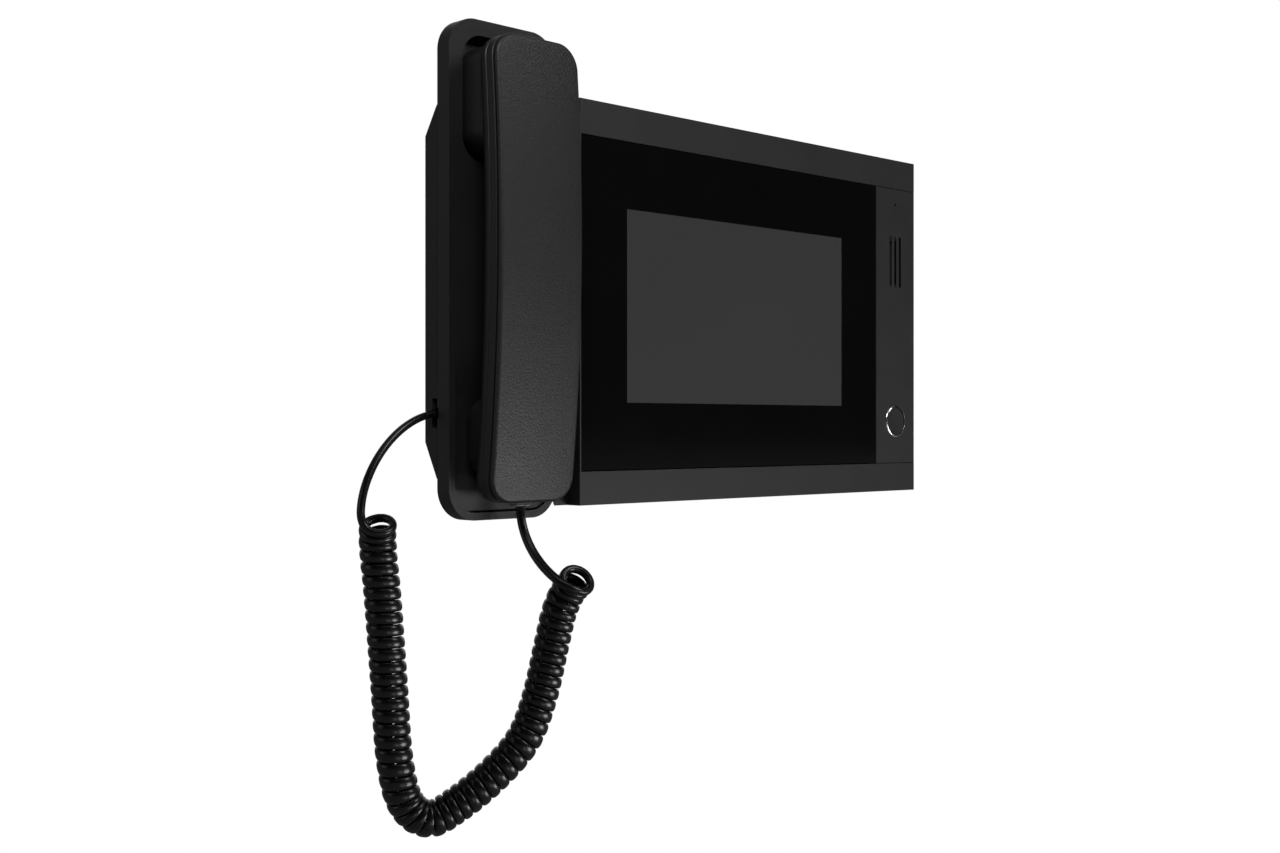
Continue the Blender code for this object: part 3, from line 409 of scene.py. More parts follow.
def black_glass(surface):
    """Back-printed glass: black, polished, with the faintest smear in its gloss."""
    smear = surface.noise(22.0, 5.0)
    surface.colour(smear, (0.0032, 0.0032, 0.0034), (0.0046, 0.0046, 0.0048))
    surface.roughness(smear, 0.06, 0.13)
    surface.set("Specular IOR Level", 0.3)


def dark_screen(surface):
    """Switched-off display behind the glass: an even dark grey with a fine weave."""
    slow = surface.noise(9.0, 2.0)
    tone = surface.weighted(surface.noise(3200.0, 1.0), 0.35, slow, 0.65)
    surface.colour(tone, (0.0475, 0.0475, 0.049), (0.0515, 0.0515, 0.053))
    surface.roughness(slow, 0.22, 0.32)
    surface.set("Specular IOR Level", 0.3)


def metal(surface, colour, roughness, grain=900.0):
    fine = surface.noise(grain, 4.0)
    surface.colour(fine, tuple(c * 0.82 for c in colour), colour)
    surface.roughness(fine, roughness * 0.8, roughness * 1.3)
    surface.bump(fine, 0.15, 0.03 * MM)
    surface.set("Metallic", 1.0)


def zinc_plate(surface):
    """Zinc-plated sheet with its cloudy spangle."""
    spangle = surface.cells(160.0)
    surface.colour(spangle, (0.62, 0.63, 0.65), (0.42, 0.43, 0.46))
    surface.roughness(spangle, 0.28, 0.5)
    surface.bump(surface.noise(1400.0), 0.2, 0.03 * MM)
    surface.set("Metallic", 1.0)


def circuit_board(surface):
    tracks = surface.cells(330.0)
    surface.colour(tracks, (0.008, 0.09, 0.035), (0.015, 0.16, 0.06))
    surface.roughness(surface.noise(60.0, 2.0), 0.3, 0.5)
    surface.bump(tracks, 0.3, 0.04 * MM)


def rubber(surface):
    fine = surface.noise(1500.0)
    surface.colour(fine, 0.008, 0.016)
    surface.roughness(fine, 0.65, 0.85)
    surface.bump(fine, 0.3, 0.05 * MM)


def woven_mesh(surface):
    """Dust cloth behind the speaker slots."""
    inputs = {"Scale": 2400.0, "Vector": surface.place}
    weave = add_node(surface.tree, "TexChecker", inputs).outputs["Fac"]
    surface.colour(weave, 0.004, 0.012)
    surface.roughness(surface.noise(2600.0, 2.0), 0.8, 0.95)
    surface.bump(weave, 0.3, 0.05 * MM)


def clear_plastic(surface):
    slow = surface.noise(500.0, 2.0)
    surface.colour(slow, (0.30, 0.32, 0.33), (0.42, 0.44, 0.45))
    surface.roughness(slow, 0.04, 0.14)
    surface.set("Transmission Weight", 0.75)
    surface.set("IOR", 1.55)


def make_material(name, style, *values):
    surface = Surface(name)
    style(surface, *values)
    return surface.material


# (material slot, style, the style's own values)
MATERIAL_STYLES = (
    ("housing_plastic", moulded_plastic, 0.009, 0.015, 0.5, 2400.0),
    ("cradle_plastic", moulded_plastic, 0.012, 0.02, 0.46, 2400.0),
    ("panel_plastic", moulded_plastic, 0.0135, (0.024, 0.024, 0.0245), 0.5, 2700.0),
    ("key_plastic", moulded_plastic, 0.013, 0.022, 0.45, 2600.0, 0.04 * MM),
    ("handset_smooth", moulded_plastic, 0.011, 0.019, 0.4, 2600.0, 0.03 * MM),
    ("connector_plastic", moulded_plastic, (0.02, 0.17, 0.05), (0.04, 0.28, 0.1), 0.45, 1800.0, 0.04 * MM),
    ("paper", moulded_plastic, 0.03, 0.06, 0.85, 1500.0, 0.1 * MM),
    ("handset_grain", pebbled_plastic),
    ("cord", cord_jacket),
    ("front_glass", black_glass),
    ("screen", dark_screen),
    ("chrome", metal, (0.86, 0.87, 0.89), 0.19, 300.0),
    ("copper", metal, (0.83, 0.62, 0.32), 0.25),
    ("screw_steel", metal, (0.6, 0.6, 0.62), 0.3),
    ("steel", zinc_plate),
    ("circuit_board", circuit_board),
    ("rubber", rubber),
    ("mesh_cloth", woven_mesh),
    ("clear_plastic", clear_plastic),
)
MATERIALS = {name: make_material(name, *style) for name, *style in MATERIAL_STYLES}


def dress(item, slot, node):
    """Give a piece its material slot, and hide the CAD node it stands for."""
    item.data.materials.clear()
    item.data.materials.append(MATERIALS[slot])
    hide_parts(node)


def finish_piece(item, body, slot, node):
    """Dress a piece and hang it on its body."""
    dress(item, slot, node)
    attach(item, body)


# ---- handset

HANDSET_CORNER = 10.5 * MM
SMALLEST_CORNER = 1.2 * MM
ARC_RADIUS = 900.0 * MM
APEX_Z = COVER.z[0] + 110.0 * MM
APEX_DEPTH = COVER.depth[1]
CROWN = 0.7 * MM                    # the front face is fuller along its middle
COVER_END = 1.8 * MM                # distances behind the curved front face
GROOVE_END = 2.9 * MM
BAND_END = 6.8 * MM
REAR_START = 7.1 * MM
REAR_SIDE_END = 8.3 * MM
REAR_END = 14.0 * MM
COVER_FILLET = 1.5 * MM
SHELL_LIP = 3.0 * MM                # how far the hidden joints reach in from the outline
REAR_TAPER = 6.5 * MM
PLUG_OPENING = (widen(PLUG.x, 0.8 * MM), widen(PLUG.depth, 0.8 * MM),
                (PLUG.z[0] - 4.0 * MM, PLUG.z[1] + 2.5 * MM))
EAR_BLOCK_WIDTH = 42.2 * MM
EAR_BLOCK_Z = around(EAR_SPEAKER.centre_z, 44.0 * MM)
MOUTH_BLOCK_WIDTH = 37.0 * MM
MOUTH_BLOCK_Z = (MOUTH_MIC.centre_z - 12.5 * MM, MOUTH_MIC.centre_z + 20.0 * MM)
BLOCK_CORNER = 9.0 * MM
BLOCK_CROWN = 0.5 * MM
EAR_HOLE_RADIUS = 0.75 * MM
EAR_HOLE_RINGS = ((0.0, 1), (3.0 * MM, 6), (6.0 * MM, 12))      # (ring radius, holes on it)


def handset_face(z):
    """Depth of the bowed front face at one height."""
    return APEX_DEPTH - (z - APEX_Z) ** 2 / (2 * ARC_RADIUS)


def outline_rows(inset, side_rows=40, corner_rows=14):
    """(z, half width) down the rounded outline of the handset, moved in by inset."""
    half = COVER.width / 2 - inset
    radius = max(HANDSET_CORNER - inset, SMALLEST_CORNER)
    top = COVER.z[1] - inset
    bottom = COVER.z[0] + inset
    corner = [(top - radius + radius * c, half - radius + radius * s) for c, s in quarter_turn(corner_rows)]
    first = top - radius
    last = bottom + radius
    side = [(first + (last - first) * i / side_rows, half) for i in range(1, side_rows)]
    return corner + side + [(top + bottom - z, width) for z, width in reversed(corner)]


def crowned(x, crown):
    """How far a crowned face stands forward of its edges at this X."""
    share = (x - COVER.centre_x) / (COVER.width / 2)
    return crown * (1 - share * share)


def handset_ring(form, inset, back, crown):
    """Loop of points at one inset from the outline and one distance behind the face."""
    rows = outline_rows(inset)
    places = [(COVER.centre_x + w, z) for z, w in rows]
    places += [(COVER.centre_x - w, z) for z, w in reversed(rows)]
    return [form.verts.new((x, -(handset_face(z) - back + crowned(x, crown)), z)) for x, z in places]


def fill_rows(form, loop, columns=1, crown=0.0):
    """Close a loop with strips that run across from right to left over the crown."""
    lines = []
    for i in range(len(loop) // 2):
        right = loop[i]
        left = loop[-1 - i]
        line = [right]
        for k in range(1, columns):
            point = right.co.lerp(left.co, k / columns)
            point.y -= crowned(point.x, crown) - crowned(right.co.x, crown)
            line.append(form.verts.new(point))
        line.append(left)
        lines.append(line)
    for a, b in zip(lines, lines[1:]):
        for k in range(columns):
            form.faces.new((a[k], a[k + 1], b[k + 1], b[k]))


def layered_shell(name, profile, closed=False, crown=0.0, first_crowned=0):
    """Body whose skin follows (inset, distance behind the face) points round the outline."""
    form = bmesh.new()
    loops = [
        handset_ring(form, inset, back, crown if i >= first_crowned else 0.0)
        for i, (inset, back) in enumerate(profile)
    ]
    for a, b in zip(loops, loops[1:]):
        bridge(form, a, b)
    if closed:
        bridge(form, loops[-1], loops[0])
    else:
        fill_rows(form, loops[0])
        fill_rows(form, loops[-1], 20 if crown else 1, crown)
    bmesh.ops.dissolve_degenerate(form, dist=0.001 * MM, edges=form.edges)
    return object_from_bmesh(name, form)


def make_handset_cover():
    soft = 0.25 * MM
    profile = [(soft, COVER_END), (0.0, COVER_END - soft)]
    profile += [(COVER_FILLET * (1 - c), COVER_FILLET * (1 - s)) for c, s in quarter_turn(9)]
    profile += [(4.0 * MM, 0.0), (8.0 * MM, 0.0)]
    cover = layered_shell("handset_cover_shell", profile, crown=CROWN, first_crowned=2)
    smooth(cover, 50)
    finish_piece(cover, "handset", "handset_grain", "handset_front_cover")


def make_handset_band():
    """Smooth side band with a shadow groove in front of it."""
    recess = 1.1 * MM
    soft = 0.25 * MM
    front = COVER_END + 0.05 * MM
    profile = [
        (recess, front), (recess, GROOVE_END), (soft, GROOVE_END), (0.0, GROOVE_END + soft),
        (0.0, BAND_END - soft), (soft, BAND_END), (SHELL_LIP, BAND_END), (SHELL_LIP, front),
    ]
    band = layered_shell("handset_band_ring", profile, closed=True)
    cut(band, block("plug_opening", *PLUG_OPENING))
    apply_modifiers(band)
    smooth(band, 40)
    finish_piece(band, "handset", "handset_smooth", "handset_side_band")


def block_form(name, z, tip, root, width, tip_radius, flare):
    """Ear or mouth block: rounded at its tip and flared where it meets the grip."""
    form = bmesh.new()
    centre = (COVER.centre_x, (z[0] + z[1]) / 2)
    height = z[1] - z[0]

    def ring(inset_x, inset_z, depth):
        radius = max(BLOCK_CORNER - min(inset_x, inset_z), 2.0 * MM)
        points = rounded_rectangle(centre, width - 2 * inset_x, height - 2 * inset_z, radius, 12)
        return [form.verts.new((x, -depth, zz)) for x, zz in points]

    loops = []
    for share in (0.55, 0.8):
        inset = tip_radius + (1 - share) * 10 * MM
        loops.append(ring(inset, inset, tip - BLOCK_CROWN * share + BLOCK_CROWN))
    for c, s in quarter_turn(7):
        loops.append(ring(tip_radius * (1 - s), tip_radius * (1 - s), tip + tip_radius * (1 - c)))
    for c, s in quarter_turn(7, 1):
        loops.append(ring(0.0, -flare * (1 - c), root - flare * (1 - s) - 0.8 * MM))
    for a, b in zip(loops, loops[1:]):
        bridge(form, a, b)
    form.faces.new(list(reversed(loops[0])))
    form.faces.new(loops[-1])
    return object_from_bmesh(name, form)


def make_handset_rear():
    """Rear shell with its two blocks, the ear holes, the mouth slot and room for the plug."""
    soft = 0.3 * MM
    profile = [(SHELL_LIP, REAR_START), (soft, REAR_START), (0.0, REAR_START + soft), (0.0, REAR_SIDE_END)]
    for c, s in quarter_turn(10, 1):
        profile.append((REAR_TAPER * (1 - c), REAR_SIDE_END + (REAR_END - REAR_SIDE_END) * s))
    profile.append((REAR_TAPER + 2.0 * MM, REAR_END + 0.15 * MM))
    rear = layered_shell("handset_rear_body", profile)
    ear_tip = REAR.depth[0]
    ear_root = handset_face(EAR_BLOCK_Z[0]) - REAR_END + 2.5 * MM
    add(rear, block_form("ear_block", EAR_BLOCK_Z, ear_tip, ear_root, EAR_BLOCK_WIDTH, 3.0 * MM, 4.5 * MM))
    mouth_tip = PLUNGER.depth[1] + GAP
    mouth_root = handset_face(MOUTH_BLOCK_Z[0]) - REAR_SIDE_END - 1.0 * MM
    add(rear, block_form("mouth_block", MOUTH_BLOCK_Z, mouth_tip, mouth_root, MOUTH_BLOCK_WIDTH,
                         4.5 * MM, 4.0 * MM))
    ear_cut = (ear_tip - 1 * MM, ear_tip + 1.6 * MM)
    for ring_radius, count in EAR_HOLE_RINGS:
        for k in range(count):
            angle = tau * k / count
            place = (COVER.centre_x + ring_radius * cos(angle),
                     EAR_SPEAKER.centre_z + ring_radius * sin(angle))
            cut(rear, rod("ear_hole", EAR_HOLE_RADIUS, ear_cut, place, 16))
    slot_place = (COVER.centre_x, MOUTH_MIC.centre_z - 6 * MM)
    slot = rounded_rectangle(slot_place, 4.0 * MM, 1.4 * MM, 0.69 * MM, 6)
    cut(rear, slab("mouth_slot", slot, (mouth_tip - 1 * MM, mouth_tip + 1.6 * MM)))
    cut(rear, block("rear_plug_opening", *PLUG_OPENING))
    apply_modifiers(rear)
    smooth(rear, 42)
    finish_piece(rear, "handset", "handset_smooth", "handset_rear_shell")


def make_plug():
    """Clear plug with room in its face for the CAD contacts."""
    body = block("cord_plug_body", PLUG.x, PLUG.depth, PLUG.z)
    pocket_depth = (CONTACTS.depth[0] - 0.2 * MM, PLUG.depth[1] + 2 * MM)
    cut(body, block("comb_pocket", widen(CONTACTS.x, 0.2 * MM), pocket_depth, widen(CONTACTS.z, 0.2 * MM)))
    soften(body, 0.35 * MM, 2, sharp=40)
    finish_piece(body, "handset", "clear_plastic", "cord_plug")


# ---- cradle and housings

CRADLE_CORNER = 13.5 * MM
POCKET_SIZE = (44.0 * MM, 52.0 * MM)
POCKET_CORNER = 10.0 * MM
POCKET_TOP = CRADLE.z[1] - 6.5 * MM
POCKET_FLOOR = CRADLE.depth[0] + 1.8 * MM
TRAY_RIM = 3.2 * MM
TRAY_TOP = CRADLE.z[0] + 74.0 * MM
TRAY_DIP = 36.0 * MM                # how far down the tray takes to reach its floor
TRAY_FLOOR = CRADLE.depth[0] + 2.7 * MM
RISE_START = CRADLE.z[0] + 19.5 * MM
RISE_END = CRADLE.z[0] + 12.5 * MM
LEDGE_DEPTH = CRADLE.depth[1] - 1.2 * MM
GROOVE_DEPTH = 1.6 * MM
GROOVE_TOP = CRADLE.z[0] + TRAY_RIM + 0.9 * MM
CORD_Z = CRADLE.z[0] + 44.1 * MM
SLOT_HEIGHT = 12.0 * MM
NOTCH_HEIGHT = 4.5 * MM
FLANGE_ROOM = 5.3 * MM              # the plunger's flange, 1 mm thick, and its 4 mm of travel


def wave(share):
    """Half a cosine wave from 0 to 1."""
    return 0.5 - 0.5 * cos(pi * share)


def tray_tool():
    """Dished recess that deepens downwards, inside a thin rim."""
    front = CRADLE.depth[1]
    steps = 14
    outline = []
    for i in range(steps + 1):
        share = i / steps
        depth = front - (front - TRAY_FLOOR) * wave(share) + 0.02 * MM * (1 - share)
        outline.append((depth, TRAY_TOP - TRAY_DIP * share))
    for i in range(1, steps + 1):
        share = i / steps
        depth = TRAY_FLOOR + (LEDGE_DEPTH - TRAY_FLOOR) * wave(share)
        outline.append((depth, RISE_START + (RISE_END - RISE_START) * share))
    groove_floor = LEDGE_DEPTH - GROOVE_DEPTH
    below = CRADLE.z[0] - 2 * MM
    clear = front + 9 * MM
    outline += [(LEDGE_DEPTH, GROOVE_TOP), (groove_floor, GROOVE_TOP), (groove_floor, below),
                (clear, below), (clear, TRAY_TOP)]
    tray = prism("tray_tool", outline, CRADLE.x)
    inside = rounded_rectangle(CRADLE.centre, CRADLE.width - 2 * TRAY_RIM, CRADLE.height - 2 * TRAY_RIM,
                               CRADLE_CORNER - TRAY_RIM, 16)
    combine(tray, slab("tray_limit", inside, THROUGH), "INTERSECT")
    apply_modifiers(tray)
    return tray


def make_cradle():
    outline = rounded_rectangle(CRADLE.centre, CRADLE.width, CRADLE.height, CRADLE_CORNER, 20)
    cradle = slab("cradle_shell", outline, CRADLE.depth)
    pocket_centre = (CRADLE.centre_x, POCKET_TOP - POCKET_SIZE[1] / 2)
    pocket = rounded_rectangle(pocket_centre, *POCKET_SIZE, POCKET_CORNER, 16)
    cut(cradle, slab("pocket_tool", pocket, (POCKET_FLOOR, FAR_FRONT)))
    cut(cradle, tray_tool())
    side = (CRADLE.x[0] - 2 * MM, CRADLE.x[0] + 5 * MM)
    notch_depth = (0.0, CRADLE.depth[0] + 0.7 * MM)
    cut(cradle, block("notch_tool", side, notch_depth, around(CORD_Z, NOTCH_HEIGHT)))
    cut(cradle, rod("plunger_hole", 3.4 * MM, THROUGH, PLUNGER.centre))
    flange_depth = (0.0, PLUNGER.depth[0] + FLANGE_ROOM)
    cut(cradle, rod("flange_room", PLUNGER.width / 2 + 0.6 * MM, flange_depth, PLUNGER.centre))
    soften(cradle, 0.9 * MM, 4, 38)
    finish_piece(cradle, "base", "cradle_plastic", "handset_cradle")


HOUSING_BACK_TOP = FRAME.z[1] - 23.0 * MM
HOUSING_BACK_BOTTOM = FRAME.z[0] + 28.25 * MM
HOUSING_FLOOR = 3.5 * MM
HOUSING_WALL = 2.3 * MM
WINDOW_CENTRE = (35.0 * MM, 0.0)
WINDOW_SIZE = (40.0 * MM, 36.0 * MM)
WINDOW_CUT = (FAR_BACK, 6.0 * MM)
TAB_PLACES = [(sx * 52.0 * MM, sz * 30.0 * MM) for sx in (-1, 1) for sz in (-1, 1)]
SCREW_HOLE_RADIUS = 1.55 * MM
SCREW_HEAD_ROOM = 3.2 * MM
SCREW_BORES = (("panel", 2.0 * MM), ("cradle", 4.4 * MM))       # depth of the room for the heads


def housing_edge(depth, top):
    share = depth / HOUSING.depth[1]
    start = HOUSING_BACK_TOP if top else HOUSING_BACK_BOTTOM
    end = FRAME.z[1] if top else FRAME.z[0]
    return start + (end - start) * share


def housing_section(back, front, inset):
    return [(back, housing_edge(back, True) - inset), (front, housing_edge(front, True) - inset),
            (front, housing_edge(front, False) + inset), (back, housing_edge(back, False) + inset)]


def cut_wall_side(housing):
    """Room for the bracket, its tabs and the door wires."""
    recess = rounded_rectangle(BRACKET.centre, BRACKET.width + 1 * MM, BRACKET.height + 1 * MM, 4.5 * MM, 8)
    cut(housing, slab("bracket_room", recess, (FAR_BACK, 1.5 * MM)))
    window = rounded_rectangle(WINDOW_CENTRE, *WINDOW_SIZE, 3 * MM, 8)
    cut(housing, slab("cable_window", window, WINDOW_CUT))
    for x, z in TAB_PLACES:
        cut(housing, block("tab_slot", around(x, 10 * MM), WINDOW_CUT, (z - GAP, z + 6 * MM)))


def cut_housing_screws(housing, seat):
    """Through-holes with room for the heads, the cradle's in posts that carry its seat."""
    for kind, bore in SCREW_BORES:
        for i in SCREWS:
            place = Extent(f"{kind}_screw_{i}").centre
            if kind == "cradle":
                add(housing, rod("screw_post", 4.2 * MM, (HOUSING_FLOOR - 0.5 * MM, seat), place))
            cut(housing, rod("screw_bore", SCREW_HEAD_ROOM, (FAR_BACK, bore), place))
            cut(housing, rod("screw_hole", SCREW_HOLE_RADIUS, (FAR_BACK, 20 * MM), place, 24))


def make_housing():
    """Hollow tapered housing behind the monitor, which runs on behind the cradle as its seat."""
    back, front = HOUSING.depth
    housing = prism("housing_shell", housing_section(back, front, 0.0), HOUSING.x)
    seat = CRADLE.depth[0] - GAP
    cut(housing, block("seat_tool", (-0.3, CRADLE.x[1] + GAP), (seat, 0.03), (-1, 1)))
    room = housing_section(HOUSING_FLOOR, 30 * MM, HOUSING_WALL)
    cut(housing, prism("monitor_room", room, (FRAME.x[0] + 3 * MM, HOUSING.x[1] - HOUSING_WALL)))
    cut(housing, prism("cradle_room", room, (HOUSING.x[0] + HOUSING_WALL, CRADLE.x[1] - HOUSING_WALL)))
    tunnel = (CRADLE.x[1] - HOUSING_WALL - 1 * MM, FRAME.x[0] + 4 * MM)
    cut(housing, block("tunnel", tunnel, (HOUSING_FLOOR, 10 * MM), (-30 * MM, 30 * MM)))
    cut_wall_side(housing)
    cut_housing_screws(housing, seat)
    side = (HOUSING.x[0] - 2 * MM, HOUSING.x[0] + 4 * MM)
    cut(housing, block("cord_slot", side, (4.85 * MM, 10 * MM), around(CORD_Z, SLOT_HEIGHT)))
    soften(housing, 0.35 * MM, 2, 25)
    finish_piece(housing, "base", "housing_plastic", "rear_housing")


# ---- monitor face

RECESS_FLOOR = GLASS.depth[0] - GAP
FRAME_START = 14.9 * MM
FRAME_WALL = 3.0 * MM
LEFT_LIP = 0.8 * MM
RIGHT_STOP = 0.7 * MM               # the gaps round the glass end here, before the open right side
BOSS_START = 4.2 * MM
BOSS_HOLE_END = 13.0 * MM
SLOT_PITCH = 4.1 * MM
SLOT_SIZE = (1.9 * MM, 27.0 * MM)
SLOT_CORNER = 0.94 * MM
SLOT_LIP = 0.4 * MM                 # what is left of the plate's thickness round the slots
CHAMFER = 0.25 * MM                 # round the glass


def make_panel_frame():
    panel = block("panel_frame", FRAME.x, (FRAME_START, FRAME.depth[1]), FRAME.z)
    recess_x = (FRAME.x[0] + LEFT_LIP, FRAME.x[1] - RIGHT_STOP)
    recess_depth = (RECESS_FLOOR, FAR_FRONT)
    cut(panel, block("recess_tool", recess_x, recess_depth, widen(GLASS.z, GAP)))
    cut(panel, block("strip_tool", (STRIP.x[0], FRAME.x[1] + 5 * MM), recess_depth, STRIP.z))
    room = (0.0, RECESS_FLOOR - 2.6 * MM)
    cut(panel, block("frame_room", widen(FRAME.x, -FRAME_WALL), room, widen(FRAME.z, -FRAME_WALL)))
    for part in (LCD_TRAY, SPEAKER_CLOTH):
        cut(panel, block("part_opening", widen(part.x, 0.5 * MM), THROUGH, widen(part.z, 0.5 * MM)))
    cut(panel, rod("microphone_path", 1.0 * MM, THROUGH, MIC.centre))
    cut(panel, rod("key_path", 4.0 * MM, THROUGH, KEY_CAP.centre))
    for i in SCREWS:
        place = Extent(f"panel_screw_{i}").centre
        add(panel, rod("boss", 3.4 * MM, (BOSS_START, RECESS_FLOOR - 2.1 * MM), place))
        cut(panel, rod("boss_hole", SCREW_HOLE_RADIUS, (0.0, BOSS_HOLE_END), place, 24))
    soften(panel, 0.3 * MM)
    finish_piece(panel, "base", "panel_plastic", "front_frame")


def outer_value(value, span):
    """A chamfered edge's coordinate moved out to the full size, any other left as it is."""
    if value < span[0] + 2 * CHAMFER:
        return span[0]
    if value > span[1] - 2 * CHAMFER:
        return span[1]
    return value


def make_glass():
    """One sheet of glass: its black print frames a clear area over the display."""
    form = bmesh.new()
    far, near = GLASS.depth
    xs = [GLASS.x[0] + CHAMFER, *around(LCD.centre_x, SCREEN_SIZE[0]), GLASS.x[1] - CHAMFER]
    zs = [GLASS.z[0] + CHAMFER, *around(LCD.centre_z, SCREEN_SIZE[1]), GLASS.z[1] - CHAMFER]
    grid = [[form.verts.new((x, -near, z)) for x in xs] for z in zs]
    faces = [
        form.faces.new((grid[i][j], grid[i][j + 1], grid[i + 1][j + 1], grid[i + 1][j]))
        for i in range(3) for j in range(3)
    ]
    rim = [grid[0][j] for j in range(4)] + [grid[i][3] for i in range(1, 4)]
    rim += [grid[3][j] for j in (2, 1, 0)] + [grid[i][0] for i in (2, 1)]
    edge, rear = [
        [form.verts.new((outer_value(v.co.x, GLASS.x), -depth, outer_value(v.co.z, GLASS.z))) for v in rim]
        for depth in (near - CHAMFER, far)
    ]
    bridge(form, rim, edge)
    bridge(form, edge, rear)
    form.faces.new(rear)
    form.faces.index_update()
    screen_index = faces[4].index
    glass = object_from_bmesh("panel_glass", form)
    finish_piece(glass, "base", "front_glass", "front_glass")
    glass.data.materials.append(MATERIALS["screen"])
    glass.data.polygons[screen_index].material_index = 1


def make_strip():
    """Plate with the sound slots, the microphone hole and the key's hole, thinned behind the slots."""
    strip = block("control_strip_plate", STRIP.x, STRIP.depth, STRIP.z)
    middle = SPEAKER_CLOTH.centre_z
    for i in (-1, 0, 1):
        slot = rounded_rectangle((MIC.centre_x + i * SLOT_PITCH, middle), *SLOT_SIZE, SLOT_CORNER, 8)
        cut(strip, slab("sound_slot", slot, THROUGH))
    room_x = widen(around(MIC.centre_x, 2 * SLOT_PITCH), 3 * MM)
    cut(strip, block("slot_room", room_x, (0.0, STRIP.depth[1] - SLOT_LIP), around(middle, 30 * MM)))
    cut(strip, rod("mic_hole", 0.8 * MM, THROUGH, MIC.centre, 24))
    cut(strip, rod("key_hole", KEY_RING.width / 2 + 0.15 * MM, THROUGH, KEY_RING.centre, 96))
    soften(strip, 0.12 * MM, 2)
    finish_piece(strip, "base", "panel_plastic", "control_strip")


def make_key_ring():
    """Chrome ring with a rounded outer slope, so only its left side mirrors the lights."""
    outer = KEY_RING.width / 2
    inner = KEY_CAP.width / 2 + 0.25 * MM
    low = KEY_RING.depth[0]
    high = KEY_RING.depth[1] + 0.35 * MM
    soft = 0.05 * MM
    radius = outer - inner - soft
    steps = 10
    first, last = radians(10.0), radians(72.0)
    span = sin(last) - sin(first)
    profile = [(inner, high - soft)]
    for i in range(steps + 1):
        tilt = first + (last - first) * i / steps
        share = (sin(tilt) - sin(first)) / span
        drop = radius * (cos(first) - cos(tilt)) / span
        profile.append((inner + soft + radius * share, high - drop))
    profile += [(outer, low), (inner, low)]
    ring = turned("key_bezel", profile, KEY_RING.centre, 96, closed=True)
    smooth(ring, 30)
    finish_piece(ring, "base", "chrome", "key_ring")


def make_key_cap():
    """Round key with a shallow dish and a soft edge."""
    radius = KEY_CAP.width / 2
    low, high = KEY_CAP.depth
    flange = high - 1.5 * MM
    stem = 2.4 * MM
    dish = 0.25 * MM
    soft = 0.35 * MM
    dish_steps = 8
    profile = [(0.0, high - dish)]
    for i in range(1, dish_steps + 1):
        share = i / dish_steps
        profile.append(((radius - soft) * share, high - dish * (1 - share ** 2)))
    profile += [(radius - soft + soft * s, high - soft * (1 - c)) for c, s in quarter_turn(5, 1)]
    profile += [(radius, flange), (stem, flange), (stem, low), (0.0, low)]
    cap = turned("call_key_button", profile, KEY_CAP.centre, 72)
    smooth(cap, 35)
    finish_piece(cap, "call_key", "key_plastic", "call_key_cap")


# ---- screws and bracket

HEAD_CROWN = 0.5 * MM
HEAD_HEIGHT = 1.1 * MM
SHANK_RADIUS = 1.2 * MM
THREAD_DEPTH = 0.22 * MM
THREADS = 9
SCREW_POINT = 0.8 * MM
RECESS_ARM = (3.0 * MM, 1.4 * MM, 0.6 * MM)     # length, depth both ways, width of the cross recess


def make_screw(node, body):
    """Pan-head screw with a cross recess, drawn over its CAD stand-in."""
    spot = Extent(node)
    outward = node.startswith(("board", "handset"))
    sign = 1 if outward else -1
    tip, head = spot.depth if outward else reversed(spot.depth)
    under = head - sign * HEAD_HEIGHT
    profile = [(0.0, head)]
    radius = spot.width / 2
    profile += [(radius * s, head - sign * HEAD_CROWN * (1 - c)) for c, s in quarter_turn(6, 1)]
    profile += [(radius, under), (SHANK_RADIUS, under)]
    run = abs(tip - under) - SCREW_POINT
    for i in range(THREADS * 2 + 1):
        depth = under - sign * run * i / (THREADS * 2)
        profile.append((SHANK_RADIUS - (THREAD_DEPTH if i % 2 else 0.0), depth))
    profile.append((0.0, tip))
    screw = turned(node + "_fine", profile, spot.centre, 32)
    for turn in (0.0, pi / 2):
        arm = block("recess_arm", *(around(0.0, size) for size in RECESS_ARM))
        place = Matrix.Translation((spot.centre_x, -head, spot.centre_z))
        arm.matrix_world = place @ Matrix.Rotation(turn, 4, "Y")
        cut(screw, arm)
    apply_modifiers(screw)
    smooth(screw, 30)
    finish_piece(screw, body, "screw_steel", node)


def round_bracket():
    """The CAD bracket keeps its mesh and takes a bevel."""
    round_edges(frame["nodes"]["wall_bracket"], 0.15 * MM, 2)


# ---- coiled cord

COIL_RADIUS = 5.9 * MM
LEAD_WIDTH = 3.1 * MM
TAIL_WIDTH = 3.4 * MM
TAIL_THICKNESS = 3.7 * MM
WIRE_THICKNESS = 3.0 * MM           # towards the coil's axis
WIRE_SIDES = 16
WIRE_SQUARENESS = 0.8               # 1 is an ellipse, less is squarer
STEPS_PER_TURN = 32
AXIS_SAMPLES = 700
START_TURN = 0.16                   # where the lead joins, as a share of a turn past the left side
END_TURN = 0.19
TURN_SLANT = 0.05                   # the turns lie slightly askew on their axis, in radians
TURN_FILL = 0.97                    # how much of its room a turn takes up
# (distance along the axis, room for one turn), in millimetres: the coil's weight opens the turns
# above the bend, and the bend closes them
TURN_ROOM = (
    (0.0, 4.75), (65.0, 4.8), (85.0, 5.1), (99.0, 5.5), (107.0, 5.1), (117.0, 3.65),
    (135.0, 3.7), (145.0, 4.35), (170.0, 5.0), (190.0, 4.55), (250.0, 4.5),
)
HANG_START = Vector((-217.0 * MM, -12.0 * MM, 0.0))     # the upright plane in which the coil hangs
HANG_END = Vector((-152.0 * MM, -46.0 * MM, 0.0))
